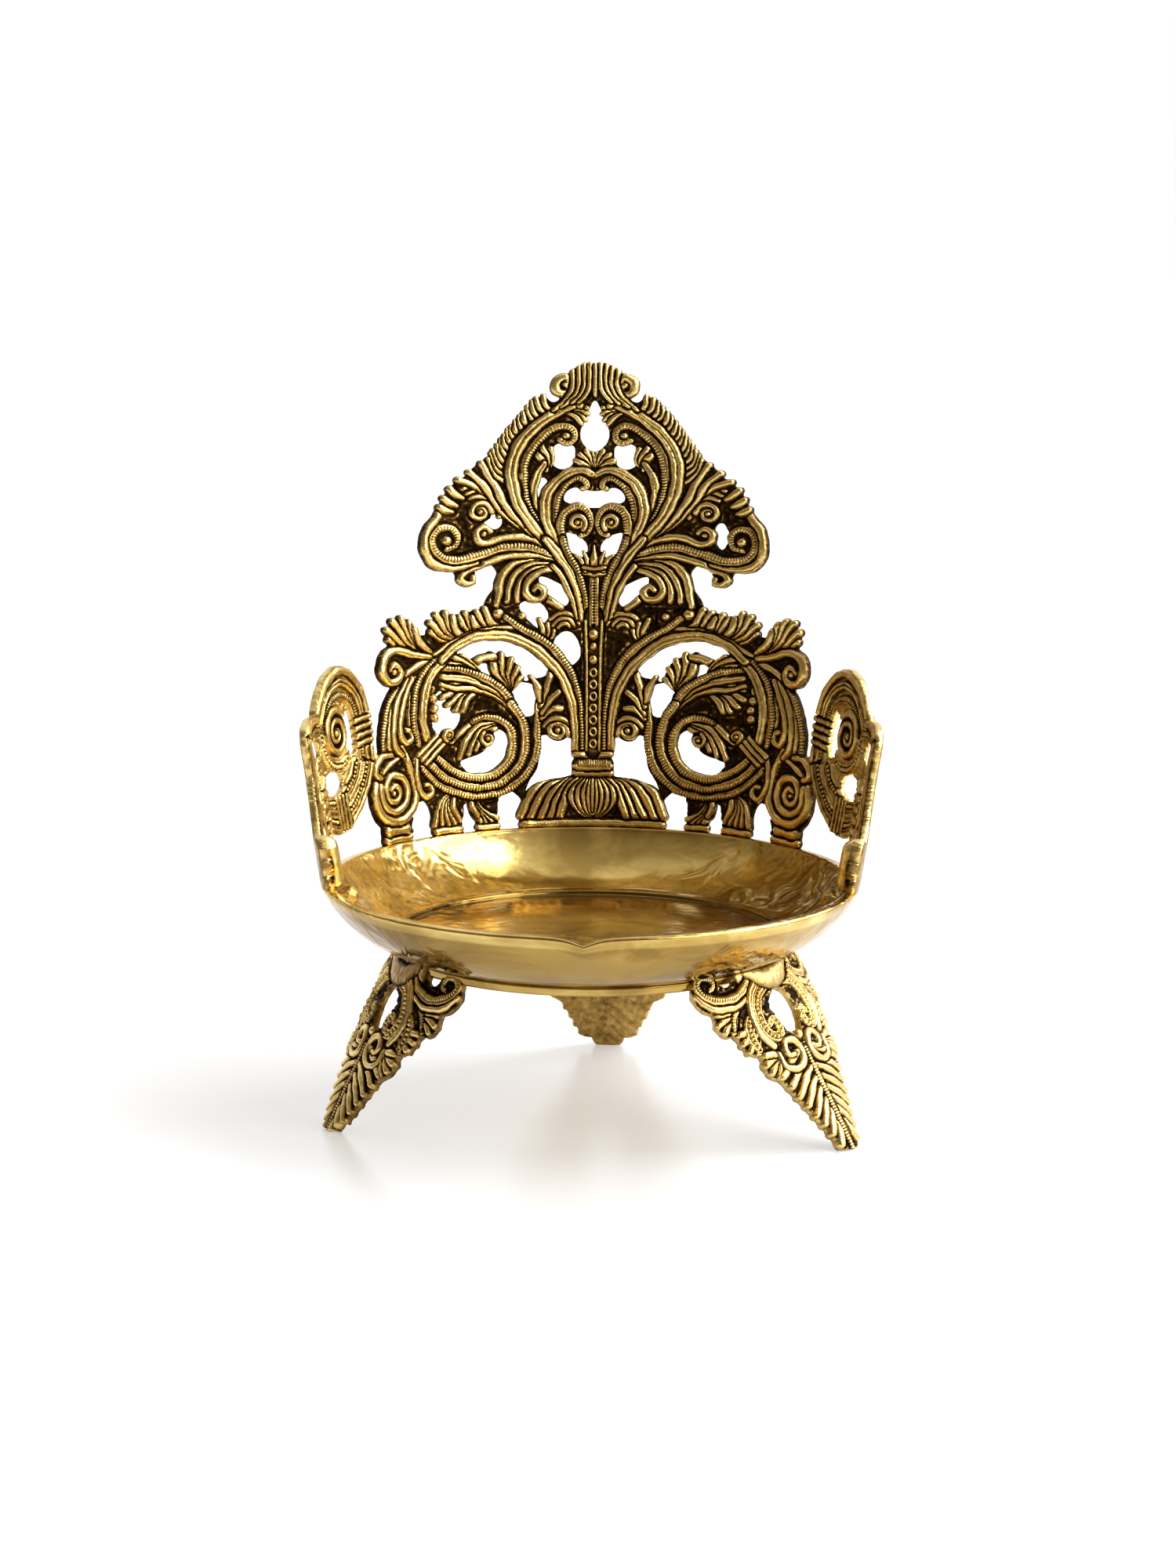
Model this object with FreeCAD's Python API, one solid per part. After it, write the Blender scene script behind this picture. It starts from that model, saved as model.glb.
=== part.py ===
"""A brass diya: a shallow oil dish on three splayed legs, with a pierced foliate screen and two
side wings standing on its rim.

All sizes are in millimetres. The origin is on the table, on the dish's axis. +Z is up, the wick
spout points to -Y and the screen stands at the back, at +Y.
"""

import FreeCAD
import Part
import math
import os

from FreeCAD import Vector

Vector2d = FreeCAD.Base.Vector2d

# Driving dimensions of the dish
RIM_RADIUS = 57.5
RIM_HEIGHT = 50.0
RIM_THICKNESS = 2.4
FLOOR_RADIUS = 40.5
FLOOR_HEIGHT = 37.8
FLOOR_STEP = 0.9
UNDERSIDE_RADIUS = 42.0
UNDERSIDE_HEIGHT = 36.0
WALL_BULGE = (51.6, 41.7)  # a point on the outside of the wall, as radius and height
WALL_HOLLOW = (49.2, 43.2)  # a point on the inside of the wall
SPOUT_REACH = 2.6
SPOUT_WIDTH = 9.0
SPOUT_DEPTH = 1.5

# Base plate under the dish
BASE_RADIUS = 41.5
BASE_THICKNESS = 2.0

# Screen and wings: pierced plates that follow one cone standing on the rim
SCREEN_LEAN = math.radians(9.0)
SCREEN_THICKNESS = 2.4
SCREEN_RADIUS = RIM_RADIUS - SCREEN_THICKNESS / 2 * math.cos(SCREEN_LEAN)
SCREEN_ARC = 56.0  # widths along the screen are arc lengths on this radius
SCREEN_HEIGHT = 104.0  # along the slope, from the rim to the tip of the crest
RIGHT_NARROWING = 1.8  # the castings' right side came out this much nearer the middle
MIDDLE_WIDTH = 12.0  # the strip about the centre line in which that happens

CONE_SPAN = 10.0  # any height will do: it only sets how steep a cone is

# Lug cast on the inside of each wing's foot: a round-ended pad that stands inside the rim
LUG_RADIUS = 2.7
LUG_WIDTH = 99.4
LUG_RISES = (1.4, 8.8)
LUG_INSET = 2.3

# Legs: pierced plates that flare towards the table, each on a cone of its own that curves more
# tightly than the dish. They were set by hand, so each has its own azimuth from the rear, radius
# at the table, lean from upright, and slide of the casting up its cone.
LEG_THICKNESS = 3.0
LEG_CONE_REACH = 6.2  # from the dish's axis to the axis of a leg's cone
LEG_ARC = 44.0
LEG_SET_SHIFT = 0.8
LEG_SETTINGS = {
    "leg_rear": {"azimuth": -2.2, "toe_radius": 57.0, "lean": 22.0, "slide": -2.3},
    "leg_left": {"azimuth": 111.4, "toe_radius": 58.8, "lean": 25.8, "slide": -0.7},
    "leg_right": {"azimuth": -120.4, "toe_radius": 63.2, "lean": 30.6, "slide": 2.8},
}

# Brazing that holds the castings together. Places on the screen's cone are arc lengths from the
# rear centre and slope heights.
SCREEN_BEAD_RADIUS = 1.1
SCREEN_FEET = [(22.4, 27.0), (31.2, 37.2), (45.6, 52.0)]  # on each side of the column's foot
COLUMN_FOOT = (-15.0, 15.0)
LUG_BEAD_RADIUS = 2.4
LUG_BEAD_RIM_INSET = 4.0
LUG_BEAD_DROP = 2.0
LUG_BEAD_WIDTH = 99.0
WING_CONTACT = (53.2, 19.6)
WING_BEAD_RADIUS = 1.1
LEG_BEAD_RADIUS = 1.5
LEG_BEAD_SWEEP = 24.0  # degrees around a leg's own cone


def cone_skin(radius, height, lean, offset):
    """The cone through a circle of that radius and height, moved outwards along its normal."""
    radius = radius + offset * math.cos(lean)
    height = height - offset * math.sin(lean)
    top_radius = radius + CONE_SPAN * math.tan(lean)
    return Part.Cone(Vector(0, 0, height), Vector(0, 0, height + CONE_SPAN), radius, top_radius)


def edge_on_cone(points, skin, arc_radius):
    """One edge on a cone through points given as arc length from the rear centre and slope height."""
    plane_points = [Vector2d(width, rise) for width, rise in points]
    curve = Part.Geom2d.BSplineCurve2d()
    curve.interpolate(plane_points)
    for index, pole in enumerate(curve.getPoles(), start=1):
        curve.setPole(index, Vector2d(math.pi - pole.x / arc_radius, pole.y))
    return curve.toShape(skin)


def pierced_plate(outline, holes, skins, arc_radius):
    """A solid plate between two parallel cones. Each loop is a list of runs of points."""
    loops = [outline] + holes
    skin_edges = [[[edge_on_cone(run, skin, arc_radius) for run in loop] for loop in loops] for skin in skins]
    faces = []
    for skin, loop_edges in zip(skins, skin_edges):
        face = Part.Face(skin, Part.Wire(loop_edges[0]))
        hole_faces = [Part.Face(skin, Part.Wire(edges)) for edges in loop_edges[1:]]
        faces.append(face.cut(hole_faces) if hole_faces else face)
    for inner_loop, outer_loop in zip(*skin_edges):
        faces += [Part.makeRuledSurface(a, b) for a, b in zip(inner_loop, outer_loop)]
    shell = Part.makeShell([part for face in faces for part in face.Faces])
    shell.sewShape()
    solid = Part.makeSolid(shell)
    return solid if solid.Volume > 0 else solid.reversed()


def mirrored(runs):
    """The same runs on the other side of the centre line, walked back towards the start."""
    return [[(-width, rise) for width, rise in reversed(run)] for run in reversed(runs)]


def narrowed(width):
    """Where a width on the symmetrical drawing falls on the casting."""
    share = min(max(0.5 + width / MIDDLE_WIDTH, 0.0), 1.0)
    return width - RIGHT_NARROWING * share ** 2 * (3 - 2 * share)


def as_cast(runs):
    """The runs of a loop on the drawing, where they fall on the casting."""
    return [[(narrowed(width), rise) for width, rise in run] for run in runs]


def smooth_hole(points):
    """A hole with one soft corner, at its first point."""
    return [points + points[:1]]


# Half of the screen's outline, from the crest's tip down one side to the middle of the rim
SCREEN_SIDE = [
    [(0, SCREEN_HEIGHT), (3.2, 103.0), (5.8, 101.6), (7.8, 99.6), (8.0, 97.6), (7.4, 96.2), (8.4, 95.2)],
    [(8.4, 95.2), (10.4, 96.6), (12.0, 94.8), (15.0, 90.5), (18.0, 86.2), (20.3, 83.6)],
    [(20.3, 83.6), (22.6, 82.0), (25.0, 79.4)],
    [(25.0, 79.4), (28.2, 77.2), (30.6, 73.8), (31.6, 71.4)],
    [(31.6, 71.4), (34.2, 68.2), (35.2, 64.8), (34.6, 61.4), (32.0, 58.6), (29.0, 58.0)],
    [(29.0, 58.0), (27.8, 55.8), (25.2, 54.6), (24.2, 56.0), (24.0, 58.6)],
    [(24.0, 58.6), (21.0, 58.6), (20.0, 56.5), (20.6, 54.4), (22.6, 51.6), (23.0, 49.5)],
    [(23.0, 49.5), (25.5, 49.4), (27.8, 48.6), (29.6, 47.4)],
    [(29.6, 47.4), (31.0, 49.2), (33.4, 48.8), (34.6, 46.6), (35.2, 45.2)],
    [(35.2, 45.2), (37.8, 44.9)],
    [(37.8, 44.9), (39.4, 47.4), (42.2, 48.7), (44.8, 47.2), (45.4, 43.6)],
    [(45.4, 43.6), (47.6, 41.6), (48.6, 38.4), (47.6, 35.4), (45.8, 34.6)],
    [(45.8, 34.6), (48.2, 31.6), (50.4, 26.5), (51.4, 22.0), (52.4, 19.0), (54.8, 16.4), (54.6, 13.6)],
    [(54.6, 13.6), (56.2, 10.4), (56.0, 7.0), (53.6, 3.8)],
    [(53.6, 3.8), (53.9, 2.0), (53.2, 0)],
    [(53.2, 0), (44.6, 0)],
    [(44.6, 0), (43.8, 3.4), (42.4, 7.2), (40.4, 7.8), (39.0, 5.4), (38.2, 0)],
    [(38.2, 0), (30.2, 0)],
    [(30.2, 0), (30.4, 3.2), (29.2, 6.6), (28.0, 3.2), (27.8, 0)],
    [(27.8, 0), (21.4, 0)],
    [(21.4, 0), (21.8, 5.2), (20.4, 8.2), (18.2, 7.6), (16.8, 5.6), (17.4, 2.4), (17.2, 0)],
    [(17.2, 0), (0, 0)],
]

# Openings on the centre line
CREST_TEARDROP = [[(0, 95.0), (2.6, 89.2), (2.4, 86.0), (0, 84.2), (-2.4, 86.0), (-2.6, 89.2), (0, 95.0)]]
CREST_CROSSING = [
    [(-6.3, 73.2), (-3.2, 71.9), (0, 71.6), (3.2, 71.9), (6.3, 73.2)],
    [(6.3, 73.2), (4.4, 75.4), (0, 74.6), (-4.4, 75.4), (-6.3, 73.2)],
]

# Openings on both sides, from the crest down
SIDE_OPENINGS = [
    smooth_hole([(5.0, 84.9), (8.2, 84.4), (8.0, 81.0), (6.2, 80.3), (4.9, 82.0)]),
    smooth_hole([(6.3, 65.4), (3.8, 64.6), (2.0, 62.6), (3.0, 60.6), (5.2, 60.4), (6.4, 62.6)]),
    smooth_hole([(11.2, 55.8), (8.6, 54.6), (6.0, 51.4), (6.6, 49.8), (8.8, 51.6), (10.6, 53.6)]),
    [
        [(29.0, 39.8), (25.5, 41.8), (20.5, 42.4), (15.5, 41.4), (11.5, 38.2), (9.4, 34.6)],
        [(9.4, 34.6), (12.0, 33.9), (15.2, 33.2)],
        [(15.2, 33.2), (16.6, 37.4), (19.5, 39.2), (24.0, 38.4), (29.0, 39.8)],
    ],
    smooth_hole([(25.4, 36.2), (22.4, 36.6), (20.2, 33.6), (21.6, 32.0), (24.2, 34.0)]),
    smooth_hole([(18.2, 32.0), (14.4, 32.0), (11.6, 30.0), (12.8, 26.4), (14.6, 25.2), (16.6, 28.4)]),
    [
        [(22.0, 22.4), (19.2, 20.4), (18.4, 17.0), (20.0, 13.8), (23.6, 12.3), (27.6, 13.2), (30.2, 15.6)],
        [(30.2, 15.6), (27.0, 16.4), (24.2, 17.6), (22.8, 19.8), (22.0, 22.4)],
    ],
    [
        [(4.8, 19.6), (4.6, 16.6), (5.8, 13.4), (5.8, 11.6), (9.4, 10.4), (12.8, 8.0), (15.2, 7.4)],
        [(15.2, 7.4), (14.8, 9.6), (12.4, 13.6), (12.2, 16.6), (13.0, 19.8)],
        [(13.0, 19.8), (9.0, 20.4), (4.8, 19.6)],
    ],
]

# Openings that are open on one side only: on the other side the casting is filled there
LEFT_OPENINGS = [
    smooth_hole([(10.2, 77.9), (11.4, 76.0), (11.2, 72.6), (9.9, 74.0), (9.6, 76.4)]),
    smooth_hole([(18.5, 68.8), (20.0, 70.2), (21.5, 68.8), (20.0, 67.4)]),
    smooth_hole([(15.2, 49.8), (12.2, 50.2), (10.2, 47.6), (10.8, 44.6), (13.2, 46.2)]),
    smooth_hole([(8.2, 42.0), (5.6, 43.2), (3.9, 40.6), (4.2, 37.4), (6.2, 36.4), (8.0, 38.6)]),
    smooth_hole([(33.6, 31.8), (31.6, 29.6), (29.6, 26.2), (31.2, 23.4), (35.0, 22.8), (36.0, 27.0)]),
]
RIGHT_OPENINGS = [smooth_hole([(25.2, 68.6), (26.6, 66.4), (25.8, 63.4), (24.4, 65.8)])]

# A wing, given as arc length from the rear centre: a ring scroll behind, a post and a lug in front
WING_OUTLINE = [
    [(54.2, 19.4), (53.4, 24.0), (53.3, 28.0), (53.9, 33.0), (55.6, 38.0), (59.2, 40.8), (63.5, 41.2),
     (68.0, 39.2), (72.5, 36.4), (75.6, 32.8)],
    [(75.6, 32.8), (79.0, 32.8), (83.0, 32.2), (86.4, 29.6), (86.6, 24.0), (88.0, 16.0), (91.0, 10.6)],
    [(91.0, 10.6), (96.0, 9.4), (100.6, 8.4), (102.0, 4.4), (101.0, 0)],
    [(101.0, 0), (79.0, 0)],
    [(79.0, 0), (79.4, 3.6), (77.6, 7.6)],
    [(77.6, 7.6), (70.6, 5.8), (64.6, 7.6), (59.6, 12.0), (56.0, 17.0), (54.2, 19.4)],
]
WING_OPENINGS = [
    smooth_hole([(60.6, 31.6), (58.8, 29.0), (58.9, 23.6), (60.6, 21.8), (62.4, 24.4), (62.2, 29.4)]),
    smooth_hole([(66.6, 16.4), (68.6, 19.4), (72.6, 19.2), (75.8, 17.0), (73.4, 14.4), (69.0, 14.0)]),
    smooth_hole([(76.4, 24.4), (78.2, 27.8), (82.6, 28.0), (83.6, 21.0), (84.6, 13.6), (81.6, 15.2),
                 (79.8, 20.0)]),
]

# Half of a leg's outline, from the toe up one side; it runs below the table and is trimmed there
LEG_SIDE = [
    [(0, -4.5), (2.3, -4.5)],
    [(2.3, -4.5), (2.7, -2.0), (3.5, 1.5), (4.9, 4.5), (6.7, 8.0), (9.0, 12.6), (10.8, 15.4)],
    [(10.8, 15.4), (12.9, 16.6), (13.5, 18.8), (12.9, 21.2)],
    [(12.9, 21.2), (15.6, 21.8), (17.3, 24.0), (18.2, 26.4)],
    [(18.2, 26.4), (21.2, 26.6), (22.3, 28.8), (22.0, 31.4)],
    [(22.0, 31.4), (25.2, 32.8), (26.7, 36.0), (25.2, 39.0), (22.0, 39.9), (19.2, 38.9)],
    [(19.2, 38.9), (17.4, 37.0), (14.8, 37.2), (12.8, 38.8), (11.9, 41.2), (11.6, 43.8)],
    [(11.6, 43.8), (0, 43.8)],
]
LEG_OPENINGS = [
    [
        [(0, 22.4), (2.6, 24.8), (4.7, 28.0), (4.6, 31.6), (2.8, 33.4), (0, 34.2)],
        [(0, 34.2), (-2.8, 33.4), (-4.6, 31.6), (-4.7, 28.0), (-2.6, 24.8), (0, 22.4)],
    ]
]


def revolved(profile, angle=360.0):
    return Part.Face(Part.Wire(profile)).revolve(Vector(0, 0, 0), Vector(0, 0, 1), angle)


def profile_point(radius, height):
    """A point of a profile in the plane that holds the axis and +X."""
    return Vector(radius, 0, height)


def chain(*points):
    """Straight edges through the given points."""
    return [Part.LineSegment(a, b).toShape() for a, b in zip(points, points[1:])]


def dish():
    """The oil dish, turned about its axis, with a pinched spout in front."""
    lip_drop = RIM_THICKNESS / 2 * math.sin(SCREEN_LEAN)
    lip_width = RIM_THICKNESS * math.cos(SCREEN_LEAN)
    lip_outside = profile_point(RIM_RADIUS, RIM_HEIGHT - lip_drop)
    lip_inside = profile_point(RIM_RADIUS - lip_width, RIM_HEIGHT + lip_drop)
    underside = profile_point(UNDERSIDE_RADIUS, UNDERSIDE_HEIGHT)
    wall_foot = profile_point(FLOOR_RADIUS + FLOOR_STEP, FLOOR_HEIGHT + FLOOR_STEP)
    floor_edge = profile_point(FLOOR_RADIUS, FLOOR_HEIGHT)
    centre_top = profile_point(0, FLOOR_HEIGHT)
    centre_bottom = profile_point(0, UNDERSIDE_HEIGHT)
    profile = chain(centre_bottom, underside)
    profile.append(Part.Arc(underside, profile_point(*WALL_BULGE), lip_outside).toShape())
    profile += chain(lip_outside, lip_inside)
    profile.append(Part.Arc(lip_inside, profile_point(*WALL_HOLLOW), wall_foot).toShape())
    profile += chain(wall_foot, floor_edge, centre_top, centre_bottom)
    bowl = revolved(profile)
    return bowl.fuse(spout_beak()).cut(spout_channel()).removeSplitter()


def spout_beak():
    """The metal pushed out past the rim by the pinch."""
    tip = Vector(0, -(RIM_RADIUS + SPOUT_REACH), RIM_HEIGHT - 0.6)
    root = RIM_RADIUS - 1.6
    corners = [
        Vector(-SPOUT_WIDTH / 2, -root, RIM_HEIGHT),
        Vector(SPOUT_WIDTH / 2, -root, RIM_HEIGHT),
        Vector(0, -root, RIM_HEIGHT - 5.2),
    ]
    sides = [Part.makePolygon([a, b, tip, a]) for a, b in zip(corners, corners[1:] + corners[:1])]
    base = Part.makePolygon(corners + corners[:1])
    return Part.makeSolid(Part.makeShell([Part.Face(wire) for wire in sides + [base]]))


def spout_channel():
    """The groove that the wick lies in, cut down through the rim."""
    groove_radius = SPOUT_WIDTH / 2
    start = Vector(0, -(RIM_RADIUS - 9.0), RIM_HEIGHT - SPOUT_DEPTH + groove_radius)
    return Part.makeCylinder(groove_radius, 20.0, start, Vector(0, -1, 0))


def base_plate():
    """The flat plate under the dish that stiffens it between the legs."""
    bottom = Vector(0, 0, UNDERSIDE_HEIGHT - BASE_THICKNESS)
    plate = Part.makeCylinder(BASE_RADIUS, BASE_THICKNESS, bottom)
    flat_at_bottom = [edge for edge in plate.Edges if abs(edge.BoundBox.ZMax - bottom.z) < 0.01]
    lower_rim = [edge for edge in flat_at_bottom if edge.Length > 1]
    return plate.makeFillet(0.6, lower_rim)


def screen_skins():
    """The inner and outer cones of the screen and the wings."""
    half = SCREEN_THICKNESS / 2
    return [cone_skin(SCREEN_RADIUS, RIM_HEIGHT, SCREEN_LEAN, side * half) for side in (-1, 1)]


def back_screen():
    outline = as_cast(SCREEN_SIDE + mirrored(SCREEN_SIDE))
    left_holes = [mirrored(hole) for hole in SIDE_OPENINGS + LEFT_OPENINGS]
    holes = [CREST_TEARDROP, CREST_CROSSING] + SIDE_OPENINGS + RIGHT_OPENINGS + left_holes
    return pierced_plate(outline, [as_cast(hole) for hole in holes], screen_skins(), SCREEN_ARC)


def capsule(radius, bottom, top):
    """A round-ended rod between two points."""
    length = (top - bottom).Length
    slant = radius * math.sqrt(0.5)
    south, north = profile_point(radius, 0), profile_point(radius, length)
    pole_south, pole_north = profile_point(0, -radius), profile_point(0, length + radius)
    profile = [Part.Arc(pole_south, profile_point(slant, -slant), south).toShape()]
    profile += chain(south, north)
    profile.append(Part.Arc(north, profile_point(slant, length + slant), pole_north).toShape())
    profile += chain(pole_north, pole_south)
    rod = revolved(profile)
    rod.Placement = FreeCAD.Placement(bottom, FreeCAD.Rotation(Vector(0, 0, 1), top - bottom))
    return rod


def wing(left, dish_shape):
    """A wing with the lug on its foot, trimmed where the lug reaches into the dish's rim."""
    loops = [WING_OUTLINE] + WING_OPENINGS
    outline, *holes = [as_cast(mirrored(loop) if left else loop) for loop in loops]
    plate = pierced_plate(outline, holes, screen_skins(), SCREEN_ARC)
    side = -1 if left else 1
    bottom, top = [place_on_cone(side * LUG_WIDTH, rise, LUG_INSET) for rise in LUG_RISES]
    lug = capsule(LUG_RADIUS, bottom, top)
    return max(plate.fuse(lug.cut(dish_shape)).Solids, key=lambda piece: piece.Volume)


def move_to_leg(shape, azimuth):
    """Moves a shape made around a leg's own cone to that leg's place under the dish."""
    shape.translate(Vector(0, LEG_CONE_REACH, 0))
    shape.rotate(Vector(0, 0, 0), Vector(0, 0, 1), azimuth)
    shape.translate(Vector(LEG_SET_SHIFT, 0, 0))


def slid(runs, distance):
    return [[(width, rise + distance) for width, rise in run] for run in runs]


def leg(setting, neighbours):
    """One leg, made at the rear, turned to its place and trimmed by the table and what it joins."""
    lean = -math.radians(setting["lean"])
    cone_radius = setting["toe_radius"] - LEG_CONE_REACH
    skins = [cone_skin(cone_radius, 0, lean, side * LEG_THICKNESS / 2) for side in (-1, 1)]
    outline = slid(LEG_SIDE + mirrored(LEG_SIDE), setting["slide"])
    holes = [slid(hole, setting["slide"]) for hole in LEG_OPENINGS]
    plate = pierced_plate(outline, holes, skins, LEG_ARC)
    move_to_leg(plate, setting["azimuth"])
    below_table = Part.makeBox(400, 400, 50, Vector(-200, -200, -50))
    trimmed = plate.cut([below_table] + neighbours)
    return max(trimmed.Solids, key=lambda piece: piece.Volume)


def ring_bead(centre_radius, centre_height, bead_radius, start_angle, sweep):
    """A round bead bent around the axis. Angles are degrees clockwise from the rear, seen from above."""
    centre = profile_point(centre_radius, centre_height)
    section = Part.Face(Part.Wire(Part.makeCircle(bead_radius, centre, Vector(0, 1, 0))))
    bead = section.revolve(Vector(0, 0, 0), Vector(0, 0, 1), sweep)
    bead.rotate(Vector(0, 0, 0), Vector(0, 0, 1), 90.0 - start_angle - sweep)
    return bead


def leftover(blank, neighbours):
    """The main solid that remains of a blank once the castings it joins are taken away."""
    return max(blank.cut(neighbours).Solids, key=lambda piece: piece.Volume)


def screen_brazes(shapes):
    """Beads behind the screen's feet, along the outside of the rim."""
    beads = []
    for start, end in [COLUMN_FOOT] + SCREEN_FEET + [(-end, -start) for start, end in SCREEN_FEET]:
        angles = [math.degrees(narrowed(width) / SCREEN_ARC) for width in (start, end)]
        blank = ring_bead(RIM_RADIUS, RIM_HEIGHT, SCREEN_BEAD_RADIUS, angles[0], angles[1] - angles[0])
        beads.append(leftover(blank, [shapes["dish"], shapes["back_screen"]]))
    return Part.makeCompound(beads)


def place_on_cone(width, rise, inset=0.0):
    """The point of the screen's middle surface at a drawn width and slope height, moved inwards."""
    angle = narrowed(width) / SCREEN_ARC
    radius = SCREEN_RADIUS + rise * math.sin(SCREEN_LEAN) - inset
    height = RIM_HEIGHT + rise * math.cos(SCREEN_LEAN)
    return Vector(radius * math.sin(angle), radius * math.cos(angle), height)


def wing_brazes(shapes):
    """A round blob inside the rim at each front lug, and one where each wing meets the screen."""
    beads = []
    for side, wing_name in ((-1, "wing_left"), (1, "wing_right")):
        neighbours = [shapes["dish"], shapes["back_screen"], shapes[wing_name]]
        lug_place = place_on_cone(side * LUG_BEAD_WIDTH, -LUG_BEAD_DROP, LUG_BEAD_RIM_INSET)
        contact = place_on_cone(side * WING_CONTACT[0], WING_CONTACT[1])
        beads.append(leftover(Part.makeSphere(LUG_BEAD_RADIUS, lug_place), neighbours))
        beads.append(leftover(Part.makeSphere(WING_BEAD_RADIUS, contact), neighbours))
    return Part.makeCompound(beads)


def leg_brazes(shapes):
    """A bead along the inside of each leg's top, in the corner under the base plate."""
    beads = []
    height = UNDERSIDE_HEIGHT - BASE_THICKNESS
    for name, setting in LEG_SETTINGS.items():
        lean = math.radians(setting["lean"])
        middle_radius = setting["toe_radius"] - LEG_CONE_REACH - height * math.tan(lean)
        inside_radius = middle_radius - LEG_THICKNESS / 2 / math.cos(lean)
        blank = ring_bead(inside_radius, height, LEG_BEAD_RADIUS, -LEG_BEAD_SWEEP / 2, LEG_BEAD_SWEEP)
        move_to_leg(blank, setting["azimuth"])
        beads.append(leftover(blank, [shapes["dish"], shapes["base_plate"], shapes[name]]))
    return Part.makeCompound(beads)


def main():
    os.makedirs("parts", exist_ok=True)
    shapes = {"dish": dish(), "base_plate": base_plate(), "back_screen": back_screen()}
    shapes["wing_left"] = wing(True, shapes["dish"])
    shapes["wing_right"] = wing(False, shapes["dish"])
    for name, setting in LEG_SETTINGS.items():
        shapes[name] = leg(setting, [shapes["dish"], shapes["base_plate"]])
    shapes["screen_brazes"] = screen_brazes(shapes)
    shapes["wing_brazes"] = wing_brazes(shapes)
    shapes["leg_brazes"] = leg_brazes(shapes)
    for name, shape in shapes.items():
        print(f"{name}: {len(shape.Solids)} solids, {shape.Volume:.0f} mm3, valid {shape.isValid()}")
        shape.exportStep(f"parts/{name}.step")


main()
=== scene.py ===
"""Looks of the brass diya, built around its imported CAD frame. Lengths are in metres unless a name
or comment says millimetres: the cast ornament is drawn in millimetres and converted at the end."""

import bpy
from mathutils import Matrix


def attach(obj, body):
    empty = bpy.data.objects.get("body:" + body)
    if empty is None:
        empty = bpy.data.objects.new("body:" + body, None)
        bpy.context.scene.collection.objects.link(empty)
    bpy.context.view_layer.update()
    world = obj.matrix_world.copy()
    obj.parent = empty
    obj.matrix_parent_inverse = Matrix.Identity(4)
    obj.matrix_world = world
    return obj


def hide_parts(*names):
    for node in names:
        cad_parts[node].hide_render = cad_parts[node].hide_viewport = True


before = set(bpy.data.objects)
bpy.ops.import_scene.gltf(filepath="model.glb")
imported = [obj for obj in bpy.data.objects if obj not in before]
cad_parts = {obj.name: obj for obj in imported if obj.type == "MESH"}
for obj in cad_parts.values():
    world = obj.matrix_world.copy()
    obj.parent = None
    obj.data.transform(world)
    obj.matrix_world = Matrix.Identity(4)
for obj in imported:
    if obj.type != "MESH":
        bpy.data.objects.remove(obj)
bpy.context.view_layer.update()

import copy
import math

import bpy
import numpy as np
from mathutils import Matrix, Vector
from mathutils.bvhtree import BVHTree

MM = 0.001

# ---- Relief drawing, in millimetres ----
#
# A casting is drawn on a flat sheet: w is the arc length from its centre line, v the height along
# its slope. Later strokes lie over earlier ones, with a groove between. All heights are above the
# casting's back.

STEP = 0.21  # spacing of the sheet's points
GROUND = 1.25  # height of the bare ground
GROOVE = 0.85  # height of the groove's bottom beside a stroke
GROOVE_SLOPE = 4.5  # rise of the groove's far side per millimetre
STROKE_FOOT = 1.3  # height of a stroke's own edge
OUTSIDE = -3.0  # signed distance where nothing is drawn
HAND = 0.07  # how far the carver's hand strays
FULLNESS = 1.13  # strokes are this much wider than drawn
MILLING = 0.66  # length of one small bead on a milled ridge
PEARLS = 1.05  # length of one pearl in a dotted band
MARGIN = 0.6  # room round a stroke for its groove
FIELDS = ("height", "inside", "along", "milled", "ground")


def smooth_path(points, spacing=0.45):
    """A Catmull-Rom curve through the points, as closely spaced points."""
    points = [np.array(p, float) for p in points]
    if len(points) == 2:
        count = max(2, int(np.linalg.norm(points[1] - points[0]) / spacing))
        return np.array([points[0] + (points[1] - points[0]) * i / count for i in range(count + 1)])
    padded = [2 * points[0] - points[1]] + points + [2 * points[-1] - points[-2]]
    out = [points[0]]
    for p0, p1, p2, p3 in zip(padded, padded[1:], padded[2:], padded[3:]):
        count = max(2, int(np.linalg.norm(p2 - p1) / spacing))
        for i in range(1, count + 1):
            t = i / count
            out.append(0.5 * (2 * p1 + (p2 - p0) * t + (2 * p0 - 5 * p1 + 4 * p2 - p3) * t ** 2
                              + (3 * p1 - p0 - 3 * p2 + p3) * t ** 3))
    return np.array(out)


def crown(t):
    """The rounded cross-section of a stroke: 1 on its line, 0 at its edge."""
    return np.sqrt(np.clip(1.0 - t * t, 0.0, 1.0))


def polar(centre, radius, angle):
    return centre[0] + radius * math.cos(angle), centre[1] + radius * math.sin(angle)


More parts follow.
